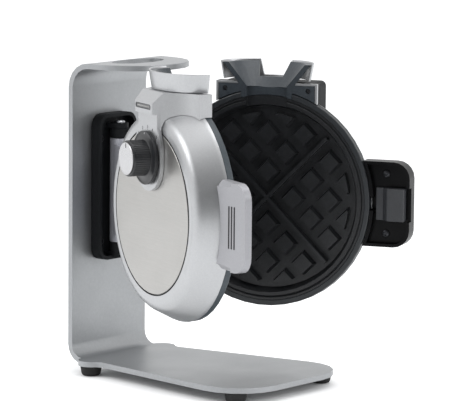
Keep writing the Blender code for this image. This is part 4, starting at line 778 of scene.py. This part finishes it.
@dataclass
class Stand:
    """The bent stand with its feet, hinge bracket and screws."""

    bench: MaterialBench
    edge_width: float = 0.0011
    bracket_edge: float = 0.0009
    bracket_seat: float = 0.0083
    plate_face: float = -0.1462
    foot_edge: float = 0.0009

    def build(self) -> None:
        """Round and dress the stand's nodes and set its screws."""
        rounded_copy("stand_frame", self.edge_width, "stand", self.bench, SATIN_ALUMINIUM)
        for place in ("rear_near", "rear_far", "front_near", "front_far"):
            rounded_copy("foot_" + place, self.foot_edge, "stand", self.bench, FOOT_RUBBER)
            paint(self.bench, SCREW_ZINC, "foot_screw_" + place)
        rounded_copy("hinge_bracket", self.bracket_edge, "stand", self.bench, BLACK_SATIN)
        paint(self.bench, SCREW_ZINC, "hinge_pin")
        self.bracket_screws()

    def bracket_screws(self) -> None:
        """Set the four screws that hold the bracket to the upright plate."""
        screw = CrossScrew(0.0036, 0.0020, 0.0018, 0.0055, self.bench, BLACK_SCREW)
        turn = Matrix.Rotation(math.radians(90.0), 4, "Y")
        for index in range(4):
            low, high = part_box("bracket_screw_%d" % (index + 1))
            centre = (low + high) / 2
            seat = (self.plate_face + self.bracket_seat, centre.y, centre.z)
            screw.place("bracket_screw_%d" % (index + 1), "stand", Matrix.Translation(seat) @ turn)
        screw.clear()


@dataclass
class DialPrint:
    """The plain numbers and tick marks printed round the knob."""

    bench: MaterialBench
    radius: float = 0.0284
    tick_in: float = 0.0256
    tick_out: float = 0.0266
    size: float = 0.0042
    knob_up: float = 0.224
    face_out: float = 0.0413
    proud: float = 0.00006
    step_degrees: float = 21.5
    count: int = 5
    ticks: int = 9

    def numeral(self, index: int) -> bpy.types.Object:
        """Make one number as a mesh at its place on the tower's face.

        Args:
            index: Its place in the row, from zero.

        Returns:
            The number's piece.
        """
        deselect_all()
        bpy.ops.object.text_add(location=(0.0, 0.0, 0.0))
        text = bpy.context.object
        text.data.body = str(index + 1)
        text.data.size = self.size
        text.data.align_x = "CENTER"
        text.data.align_y = "CENTER"
        text.data.extrude = self.proud
        text.data.resolution_u = 4
        bpy.ops.object.convert(target="MESH")
        text = bpy.context.object
        angle = math.radians((index - (self.count - 1) / 2) * self.step_degrees)
        along = NEAR.disc_along + self.radius * math.sin(angle)
        up = self.knob_up + self.radius * math.cos(angle)
        settle(text, NEAR.outward(along, self.face_out + self.proud, up))
        return finish_piece(text, "dial_number_%d" % (index + 1), "near_half", self.bench, DIAL_INK)

    def tick_row(self) -> None:
        """Make the tick marks on the skirt's edge side, one at each half step."""
        for index in range(self.ticks):
            angle = (index - (self.ticks - 1) / 2) * self.step_degrees / 2
            long_tick = index % 2 == 0
            deselect_all()
            bpy.ops.mesh.primitive_cube_add(size=1.0)
            tick = bpy.context.object
            length = (self.tick_out - self.tick_in) * (1.0 if long_tick else 0.6)
            tick.scale = (0.00028, length, self.proud * 2)
            make_active(tick)
            bpy.ops.object.transform_apply(scale=True)
            apply_modifier(tick, "BEVEL", width=self.proud * 0.6, segments=2)
            swing = Matrix.Rotation(math.radians(-angle), 4, "Z")
            lift = Matrix.Translation((0.0, self.tick_in + length / 2, 0.0))
            place = NEAR.outward(NEAR.disc_along, self.face_out + self.proud, self.knob_up)
            settle(tick, place @ swing @ lift)
            finish_piece(tick, "dial_tick_%d" % (index + 1), "near_half", self.bench, DIAL_INK)

    def build(self) -> None:
        """Print the numbers and ticks."""
        for index in range(self.count):
            self.numeral(index)
        self.tick_row()


@dataclass
class Knob:
    """The browning knob: skirt, ribbed grip, brushed cap and pointer."""

    bench: MaterialBench
    up: float = 0.224
    skirt_radius: float = 0.0250
    skirt_low: float = 0.0421
    skirt_high: float = 0.0451
    grip_radius: float = 0.0168
    grip_high: float = 0.0625
    steps: int = 96
    rib_depth: float = 0.00030
    cap_radius: float = 0.0150
    cap_low: float = 0.0628
    cap_high: float = 0.0636
    skirt_edge: float = 0.0012
    ditch_width: float = 0.0004
    ditch_depth: float = 0.0005
    ditch_rise: float = 0.0004
    grip_foot: float = 0.0008
    grip_foot_rise: float = 0.0006
    grip_nose: float = 0.0020
    smallest_rib: float = 0.000004
    edge_width: float = 0.00012
    cap_edge: float = 0.0003
    cap_roll: float = 0.0002
    cap_ring: float = 0.0008
    cap_dish: float = 0.00015
    mark_width: float = 0.0011
    mark_thickness: float = 0.00030

    def is_rib_gap(self, face: bmesh.types.BMFace) -> bool:
        """Say whether a face of the grip's side lies between two ribs.

        Args:
            face: The face.

        Returns:
            Whether it is sunk.
        """
        low = self.skirt_high - self.skirt_low + self.skirt_edge
        upright = abs(face.normal.z) < 0.3
        if not upright or face.calc_center_median().z <= low or face.calc_area() <= self.smallest_rib:
            return False
        angle = math.degrees(math.atan2(face.normal.y, face.normal.x))
        return int(angle / (360.0 / self.steps) + self.steps) % 2 == 0

    def grip(self) -> None:
        """Model the skirt and the ribbed grip as one turned piece."""
        deselect_all()
        skirt = self.skirt_high - self.skirt_low
        bpy.ops.mesh.primitive_cylinder_add(vertices=self.steps, radius=self.skirt_radius, depth=skirt,
                                            location=(0.0, 0.0, skirt / 2))
        knob = bpy.context.object
        bpy.ops.object.transform_apply(location=True)
        edit(knob, "FACE")
        choose_faces(knob, lambda face: face.normal.z > 0.9)
        bpy.ops.mesh.inset(thickness=self.skirt_edge, depth=0.0)
        bpy.ops.mesh.inset(thickness=self.ditch_width, depth=-self.ditch_depth)
        ledge = self.skirt_radius - self.grip_radius - self.skirt_edge - self.ditch_width - self.grip_foot
        bpy.ops.mesh.inset(thickness=ledge, depth=self.ditch_rise)
        bpy.ops.mesh.inset(thickness=self.grip_foot, depth=self.grip_foot_rise)
        rise = self.grip_high - self.skirt_high - self.grip_nose
        bpy.ops.mesh.extrude_region_move(TRANSFORM_OT_translate={"value": (0.0, 0.0, rise)})
        bpy.ops.mesh.inset(thickness=0.0005, depth=0.0009)
        bpy.ops.mesh.inset(thickness=0.0010, depth=0.0003)
        choose_faces(knob, self.is_rib_gap)
        bpy.ops.mesh.extrude_region_shrink_fatten(TRANSFORM_OT_shrink_fatten={"value": -self.rib_depth})
        deselect_all()
        apply_modifier(knob, "BEVEL", width=self.edge_width, segments=2, limit_method="ANGLE",
                       angle_limit=math.radians(35.0))
        smooth(knob, 40.0)
        settle(knob, NEAR.outward(NEAR.disc_along, self.skirt_low, self.up))
        finish_piece(knob, "control_knob_grip", "knob", self.bench, KNOB_CHARCOAL)
        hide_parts("control_knob")

    def cap(self) -> None:
        """Model the brushed cap with its rolled edge and shallow dish."""
        deselect_all()
        thick = self.cap_high - self.cap_low
        bpy.ops.mesh.primitive_cylinder_add(vertices=self.steps, radius=self.cap_radius, depth=thick,
                                            location=(0.0, 0.0, thick / 2))
        cap = bpy.context.object
        bpy.ops.object.transform_apply(location=True)
        edit(cap, "FACE")
        choose_faces(cap, lambda face: face.normal.z > 0.9)
        bpy.ops.transform.translate(value=(0.0, 0.0, -self.cap_roll))
        bpy.ops.mesh.inset(thickness=self.cap_edge, depth=self.cap_roll)
        bpy.ops.mesh.inset(thickness=self.cap_ring, depth=0.0)
        bpy.ops.mesh.inset(thickness=self.cap_edge, depth=-self.cap_dish)
        deselect_all()
        smooth(cap, 25.0)
        settle(cap, NEAR.outward(NEAR.disc_along, self.cap_low, self.up))
        centre = NEAR.matrix() @ Vector((NEAR.disc_along, -self.cap_high, self.up))
        finish = Finish("turned_cap_steel", "brushed_steel", (0.680, 0.680, 0.690), (0.520, 0.520, 0.530),
                        1.0, 0.26,
                        Grain.LEVEL_BRUSH, 9000.0, 0.10, rings=True, centre=tuple(centre), turn_degrees=-24.0)
        finish_piece(cap, "knob_cap_disc", "knob", self.bench, finish)
        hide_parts("knob_cap")

    def pointer(self) -> None:
        """Set the pointer mark into the top of the skirt and the grip's front edge."""
        for name, low, high, out, finish in (
            ("knob_pointer_skirt", 0.0182, 0.0236, self.skirt_high - 0.00055, POINTER_PAINT),
            ("knob_pointer_cap", 0.0100, 0.0143, self.cap_high - 0.00010, DIAL_INK),
        ):
            deselect_all()
            bpy.ops.mesh.primitive_cube_add(size=1.0)
            mark = bpy.context.object
            mark.scale = (self.mark_width, high - low, self.mark_thickness)
            bpy.ops.object.transform_apply(scale=True)
            apply_modifier(mark, "BEVEL", width=0.00010, segments=2)
            smooth(mark, 30.0)
            place = NEAR.outward(NEAR.disc_along, out, self.up)
            settle(mark, place @ Matrix.Translation((0.0, (low + high) / 2, 0.0)))
            finish_piece(mark, name, "knob", self.bench, finish)

    def build(self) -> None:
        """Make the knob's pieces."""
        self.grip()
        self.cap()
        self.pointer()
        paint(self.bench, SCREW_ZINC, "knob_shaft")


@dataclass
class NearHalf:
    """The half with the control tower, the knob's dial and the silver handle."""

    bench: MaterialBench
    body: str = "near_half"
    handle_root: float = 0.2535
    handle_length: float = 0.0386
    handle_root_out: float = 0.0180
    handle_tip_out: float = 0.0126
    groove_reach: float = 0.0175
    groove_pitch: float = 0.0042
    groove_size: Place = (0.0019, 0.0385, 0.0005)
    groove_edge: float = 0.0002
    strip_size: Place = (0.0250, 0.0012, 0.0004)
    strip_edge: float = 0.0001
    strip_out: float = 0.0456
    strip_up: float = 0.2722

    def build(self) -> None:
        """Round and dress the near half's nodes and add its small parts."""
        rounded_copy("near_housing", 0.0009, self.body, self.bench, SILVER_LACQUER)
        rounded_copy("near_control_tower", 0.0012, self.body, self.bench, SILVER_LACQUER)
        rounded_copy("near_spout", 0.0007, self.body, self.bench, SILVER_LACQUER)
        rounded_copy("near_handle", 0.0014, self.body, self.bench, HANDLE_LACQUER)
        rounded_copy("near_hinge_arm", 0.0008, self.body, self.bench, BARREL_GREY)
        rounded_copy("near_rim", 0.0006, self.body, self.bench, SLATE)
        paint(self.bench, NON_STICK, "near_grid_plate")
        rounded_copy("near_funnel", 0.0005, self.body, self.bench, DARK_LINER)
        rounded_copy("near_cover_plate", 0.00025, self.body, self.bench, COVER_STEEL)
        rounded_copy("catch_hook", 0.0003, self.body, self.bench, SCREW_ZINC)
        rounded_copy("near_indicator_lens", 0.0004, self.body, self.bench, SMOKED_LENS)
        paint(self.bench, LAMP_AMBER, "near_indicator_lamp")
        paint(self.bench, HEATER_SKIN, "near_heater")
        paint(self.bench, SHIELD_STEEL, "near_heat_shield")
        paint(self.bench, SWITCH_BROWN, "near_thermostat")
        # thin dark ring in the cover joint: painted shade
        gap_shade_ring("near_cover_shade_ring", NEAR, self.body, self.bench)
        # lighter grey strip on the indicator lens: painted highlight
        place = NEAR.outward(NEAR.disc_along, self.strip_out, self.strip_up)
        seat_bar("indicator_lens_highlight", self.strip_size, place, self.body, self.bench, LENS_HIGHLIGHT_FINISH,
                 self.strip_edge)
        self.grip_grooves()
        self.screws()

    def grip_grooves(self) -> None:
        """Shade the three grip grooves of the handle."""
        slope = (self.handle_tip_out - self.handle_root_out) / self.handle_length
        tilt = Matrix.Rotation(math.atan(-slope), 4, "Y")
        for index in range(3):
            reach = self.groove_reach + (index - 1) * self.groove_pitch
            out = self.handle_root_out + slope * reach
            place = NEAR.outward(self.handle_root + reach, out, NEAR.disc_up)
            seat_bar("grip_groove_shade_%d" % (index + 1), self.groove_size, place @ tilt, self.body,
                     self.bench, GROOVE_SHADE, self.groove_edge)

    def screws(self) -> None:
        """Set the cross-head screws of the handle and the funnel."""
        handle = CrossScrew(0.0034, 0.0022, 0.0016, 0.0030, self.bench, SCREW_ZINC)
        funnel = CrossScrew(0.0022, 0.0014, 0.0011, 0.0050, self.bench, BLACK_SCREW)
        place_screws(handle, "near_handle_screw_%d", self.body, NEAR)
        place_screws(funnel, "near_funnel_screw_%d", self.body, NEAR)


# Size of the thin dark ring painted as shade in the joint between housing and cover plate
RING_INNER = 0.07695
RING_OUTER = 0.0782
RING_LOW = 0.0361
RING_HIGH = 0.0368
RING_EDGE = 0.0002
RING_STEPS = 160


def seat_bar(name: str, size: Place, matrix: Matrix, body: str, bench: MaterialBench, finish: Finish,
             edge: float) -> bpy.types.Object:
    """Seat a small bar with rounded edges.

    Args:
        name: The bar's name.
        size: Its length, height and thickness.
        matrix: Where its middle stands, its thickness along +Z.
        body: The body that it rides on.
        bench: The maker of materials.
        finish: Its finish.
        edge: How far its edges are rounded.

    Returns:
        The bar.
    """
    deselect_all()
    bpy.ops.mesh.primitive_cube_add(size=1.0)
    bar = bpy.context.object
    bar.scale = size
    make_active(bar)
    bpy.ops.object.transform_apply(scale=True)
    apply_modifier(bar, "BEVEL", width=edge, segments=3)
    smooth(bar)
    settle(bar, matrix)
    return finish_piece(bar, name, body, bench, finish)


def back_tone(piece: bpy.types.Object, half: HalfPlace, out: float, bench: MaterialBench,
              finish: Finish) -> None:
    """Give the part of a piece behind a level another finish, with a clean line between the two.

    Args:
        piece: The piece.
        half: The half that it belongs to.
        out: The level, from the parting plane.
        bench: The maker of materials.
        finish: The finish behind the level.
    """
    level = half.matrix() @ Vector((0.0, half.side.value * out, 0.0))
    facing = half.matrix().to_3x3() @ Vector((0.0, float(half.side.value), 0.0))
    piece.data.materials.append(bench.material(finish))
    edit(piece, "FACE")
    bpy.ops.mesh.select_all(action="SELECT")
    bpy.ops.mesh.bisect(plane_co=level, plane_no=facing)
    choose_faces(piece, lambda face: (face.calc_center_median() - level).dot(facing) > 0.0)
    piece.active_material_index = len(piece.data.materials) - 1
    bpy.ops.object.material_slot_assign()
    deselect_all()


def gap_shade_ring(name: str, half: HalfPlace, body: str, bench: MaterialBench) -> None:
    """Seat a thin dark ring in the joint between the housing and its cover plate: painted shade standing in
    for the shadow on the housing lip's inner wall.

    Args:
        name: The ring's name.
        half: The half that it belongs to.
        body: The body that it rides on.
        bench: The maker of materials.
    """
    thick = RING_HIGH - RING_LOW
    deselect_all()
    bpy.ops.mesh.primitive_cylinder_add(vertices=RING_STEPS, radius=RING_OUTER, depth=thick,
                                        location=(0.0, 0.0, thick / 2))
    ring = bpy.context.object
    bpy.ops.object.transform_apply(location=True)
    edit(ring, "FACE")
    choose_faces(ring, lambda face: abs(face.normal.z) > 0.9)
    bpy.ops.mesh.inset(thickness=RING_OUTER - RING_INNER)
    bpy.ops.mesh.bridge_edge_loops()
    deselect_all()
    if not is_closed(ring):
        LOG.info("%s has an open joint", name)
    apply_modifier(ring, "BEVEL", width=RING_EDGE, segments=2, limit_method="ANGLE",
                   angle_limit=math.radians(40.0))
    smooth(ring)
    settle(ring, half.outward(half.disc_along, RING_LOW, half.disc_up))
    # black satin here is painted shade in the joint, not a real gasket
    finish_piece(ring, name, body, bench, BLACK_SATIN)


def place_screws(screw: CrossScrew, names: str, body: str, half: HalfPlace) -> None:
    """Set a pair of screws on a half, heads towards the parting plane, where the CAD screws are.

    Args:
        screw: The screw to copy.
        names: The CAD screws' names, with a place for the number.
        body: The body that they ride on.
        half: The half that they belong to.
    """
    back = half.matrix().inverted()
    for index in (1, 2):
        node = names % index
        corners = [back @ vertex.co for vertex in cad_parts[node].data.vertices]
        along = (min(c.x for c in corners) + max(c.x for c in corners)) / 2
        up = (min(c.z for c in corners) + max(c.z for c in corners)) / 2
        outs = [c.y * half.side.value for c in corners]
        seat = min(outs) + screw.head_height
        screw.place(node, body, half.inward(along, seat, up))
    screw.clear()


@dataclass
class FarHalf:
    """The half with the notched funnel, the terminal cover, the black handle and the latch."""

    bench: MaterialBench
    body: str = "far_half"
    silver_depth: float = 0.0036
    seal_size: Place = (0.0012, 0.0150, 0.0090)
    seal_edge: float = 0.0002
    seal_radius: float = 0.1041
    seal_out: float = 0.0119

    def build(self) -> None:
        """Round and dress the far half's nodes and set its screws."""
        rounded_copy("far_housing", 0.0009, self.body, self.bench, SILVER_LACQUER)
        rounded_copy("far_spout", 0.0006, self.body, self.bench, SILVER_LACQUER)
        wall = rounded_copy("far_tower_wall", 0.0009, self.body, self.bench, SILVER_LACQUER)
        if wall:
            back_tone(wall, FAR, self.silver_depth, self.bench, BLACK_SATIN)
        place = FAR.outward(FAR.disc_along + self.seal_radius, self.seal_out, FAR.disc_up)
        seat_bar("catch_side_seal", self.seal_size, place, self.body, self.bench, BLACK_SATIN, self.seal_edge)
        rounded_copy("terminal_cover", 0.0012, self.body, self.bench, BLACK_SATIN)
        rounded_copy("far_rim", 0.0006, self.body, self.bench, RIM_SLATE)
        paint(self.bench, NON_STICK, "far_grid_plate")
        rounded_copy("far_funnel", 0.0006, self.body, self.bench, DARK_LINER)
        rounded_copy("far_handle", 0.0008, self.body, self.bench, BLACK_GLOSS)
        rounded_copy("far_cover_plate", 0.00025, self.body, self.bench, FAR_COVER_STEEL)
        rounded_copy("far_hinge_arm_upper", 0.0007, self.body, self.bench, BLACK_SATIN)
        rounded_copy("far_hinge_arm_lower", 0.0007, self.body, self.bench, BLACK_SATIN)
        rounded_copy("latch_slide", 0.0006, "latch", self.bench, LATCH_GREY)
        paint(self.bench, HEATER_SKIN, "far_heater")
        paint(self.bench, SHIELD_STEEL, "far_heat_shield")
        # thin dark ring in the cover joint: painted shade
        gap_shade_ring("far_cover_shade_ring", FAR, self.body, self.bench)
        handle = CrossScrew(0.0034, 0.0022, 0.0016, 0.0060, self.bench, BLACK_SCREW)
        funnel = CrossScrew(0.0022, 0.0014, 0.0011, 0.0050, self.bench, BLACK_SCREW)
        place_screws(handle, "far_handle_screw_%d", self.body, FAR)
        place_screws(funnel, "far_funnel_screw_%d", self.body, FAR)


@dataclass
class Studio:
    """The pale floor, the surrounding light, the lamps and the camera."""

    camera_place: Place = (2.05279, -2.50586, 0.62494)
    look: Place = (-0.625645, 0.767907, -0.137430)
    up: Place = (-0.093349, 0.101208, 0.990476)
    lens: float = 276.0
    sensor: float = 36.0
    floor_size: float = 8.0
    floor_colour: Colour = (0.93, 0.93, 0.93)
    floor_glow: float = 0.45
    # how far the painted contact shadow on the floor reaches
    shade_reach: float = 0.045
    room_light: float = 0.72
    dark_side: Place = (0.52, -0.85, 0.05)
    dark_level: float = 0.02
    dark_from: float = 0.30
    dark_to: float = 0.95
    lamps: tuple[tuple[str, Place, float, float], ...] = (
        ("key_lamp", (-0.9, -1.3, 1.5), 0.9, 10.0),
        ("right_lamp", (1.7, 0.6, 1.1), 0.6, 6.0),
        ("top_lamp", (0.1, 0.2, 1.9), 1.0, 7.0),
    )

    def stage_material(self) -> bpy.types.Material:
        """Make the floor's material: pale, and white where the camera or a reflection sees it, that white
        dimmed by ambient occlusion near the object as a painted contact shadow.

        Returns:
            The material.
        """
        made = bpy.data.materials.new("pale_stage")
        made.use_nodes = True
        tree = made.node_tree
        shader = tree.nodes["Principled BSDF"]
        shader.inputs["Base Color"].default_value = (*self.floor_colour, 1.0)
        shader.inputs["Roughness"].default_value = 0.9
        shader.inputs["Specular IOR Level"].default_value = 0.0
        shader.inputs["Emission Color"].default_value = (1.0, 1.0, 1.0, 1.0)
        path = tree.nodes.new("ShaderNodeLightPath")
        seen = tree.nodes.new("ShaderNodeMath")
        seen.operation = "MAXIMUM"
        tree.links.new(path.outputs["Is Camera Ray"], seen.inputs[0])
        tree.links.new(path.outputs["Is Glossy Ray"], seen.inputs[1])
        level = tree.nodes.new("ShaderNodeMath")
        level.operation = "MULTIPLY"
        level.inputs[1].default_value = self.floor_glow
        # ambient occlusion dims the floor's glow near the object: a painted contact shadow
        near = tree.nodes.new("ShaderNodeAmbientOcclusion")
        near.inputs["Distance"].default_value = self.shade_reach
        near.samples = 16
        shade = tree.nodes.new("ShaderNodeMath")
        shade.operation = "MULTIPLY"
        tree.links.new(seen.outputs[0], shade.inputs[0])
        tree.links.new(near.outputs["AO"], shade.inputs[1])
        tree.links.new(shade.outputs[0], level.inputs[0])
        tree.links.new(level.outputs[0], shader.inputs["Emission Strength"])
        return made

    def stage(self) -> None:
        """Make the flat floor."""
        deselect_all()
        bpy.ops.mesh.primitive_plane_add(size=self.floor_size, location=(0.0, 0.0, -0.0005))
        floor = bpy.context.object
        floor.name = "floor"
        floor.data.materials.append(self.stage_material())

    def world(self) -> None:
        """Make the surrounding light: white where it is seen, and dim behind the camera."""
        world = bpy.data.worlds.new("soft_room")
        bpy.context.scene.world = world
        world.use_nodes = True
        tree = world.node_tree
        room = tree.nodes["Background"]
        room.inputs["Color"].default_value = (0.97, 0.985, 1.0, 1.0)
        room.inputs["Strength"].default_value = self.room_light
        place = tree.nodes.new("ShaderNodeTexCoord")
        toward = tree.nodes.new("ShaderNodeVectorMath")
        toward.operation = "DOT_PRODUCT"
        toward.inputs[1].default_value = self.dark_side
        tree.links.new(place.outputs["Generated"], toward.inputs[0])
        fall = tree.nodes.new("ShaderNodeMapRange")
        fall.interpolation_type = "SMOOTHSTEP"
        for label, value in (("From Min", self.dark_from), ("From Max", self.dark_to), ("To Min", 1.0),
                             ("To Max", self.dark_level)):
            fall.inputs[label].default_value = value
        tree.links.new(toward.outputs["Value"], fall.inputs["Value"])
        white = tree.nodes.new("ShaderNodeBackground")
        white.inputs["Color"].default_value = (1.0, 1.0, 1.0, 1.0)
        tree.links.new(fall.outputs[0], white.inputs["Strength"])
        path = tree.nodes.new("ShaderNodeLightPath")
        seen = path.outputs["Is Camera Ray"]
        for kind in ("Is Glossy Ray", "Is Transmission Ray"):
            either = tree.nodes.new("ShaderNodeMath")
            either.operation = "MAXIMUM"
            tree.links.new(seen, either.inputs[0])
            tree.links.new(path.outputs[kind], either.inputs[1])
            seen = either.outputs[0]
        blend = tree.nodes.new("ShaderNodeMixShader")
        tree.links.new(seen, blend.inputs[0])
        tree.links.new(room.outputs[0], blend.inputs[1])
        tree.links.new(white.outputs[0], blend.inputs[2])
        tree.links.new(blend.outputs[0], tree.nodes["World Output"].inputs[0])

    def lamp(self, name: str, place: Place, size: float, power: float) -> None:
        """Add a soft square lamp aimed at the machine.

        Args:
            name: Its name.
            place: Where it hangs.
            size: Its side.
            power: Its power in watts.
        """
        data = bpy.data.lights.new(name, "AREA")
        data.size = size
        data.energy = power
        lamp = bpy.data.objects.new(name, data)
        bpy.context.scene.collection.objects.link(lamp)
        lamp.location = place
        aim = Vector((0.0, 0.0, 0.16)) - Vector(place)
        lamp.rotation_mode = "QUATERNION"
        lamp.rotation_quaternion = aim.to_track_quat("-Z", "Y")

    def camera(self) -> None:
        """Put the camera at the photograph's viewing angle."""
        data = bpy.data.cameras.new("camera")
        data.lens = self.lens
        data.sensor_width = self.sensor
        data.clip_start, data.clip_end = 0.05, 30.0
        camera = bpy.data.objects.new("camera", data)
        bpy.context.scene.collection.objects.link(camera)
        look, up = Vector(self.look).normalized(), Vector(self.up)
        right = look.cross(up).normalized()
        up = right.cross(look)
        turn = Matrix((right, up, -look)).transposed().to_4x4()
        camera.matrix_world = Matrix.Translation(self.camera_place) @ turn
        bpy.context.scene.camera = camera

    def build(self) -> None:
        """Set up the whole studio."""
        self.stage()
        self.world()
        for name, place, size, power in self.lamps:
            self.lamp(name, place, size, power)
        self.camera()
        bpy.context.scene.view_settings.view_transform = "Standard"


def main() -> None:
    """Build every sub-assembly in order, then the studio."""
    logging.basicConfig(level=logging.INFO, format="%(message)s")
    bench = MaterialBench()
    Studio().build()
    Stand(bench).build()
    NearHalf(bench).build()
    DialPrint(bench).build()
    Knob(bench).build()
    FarHalf(bench).build()


if __name__ == "__main__":
    main()
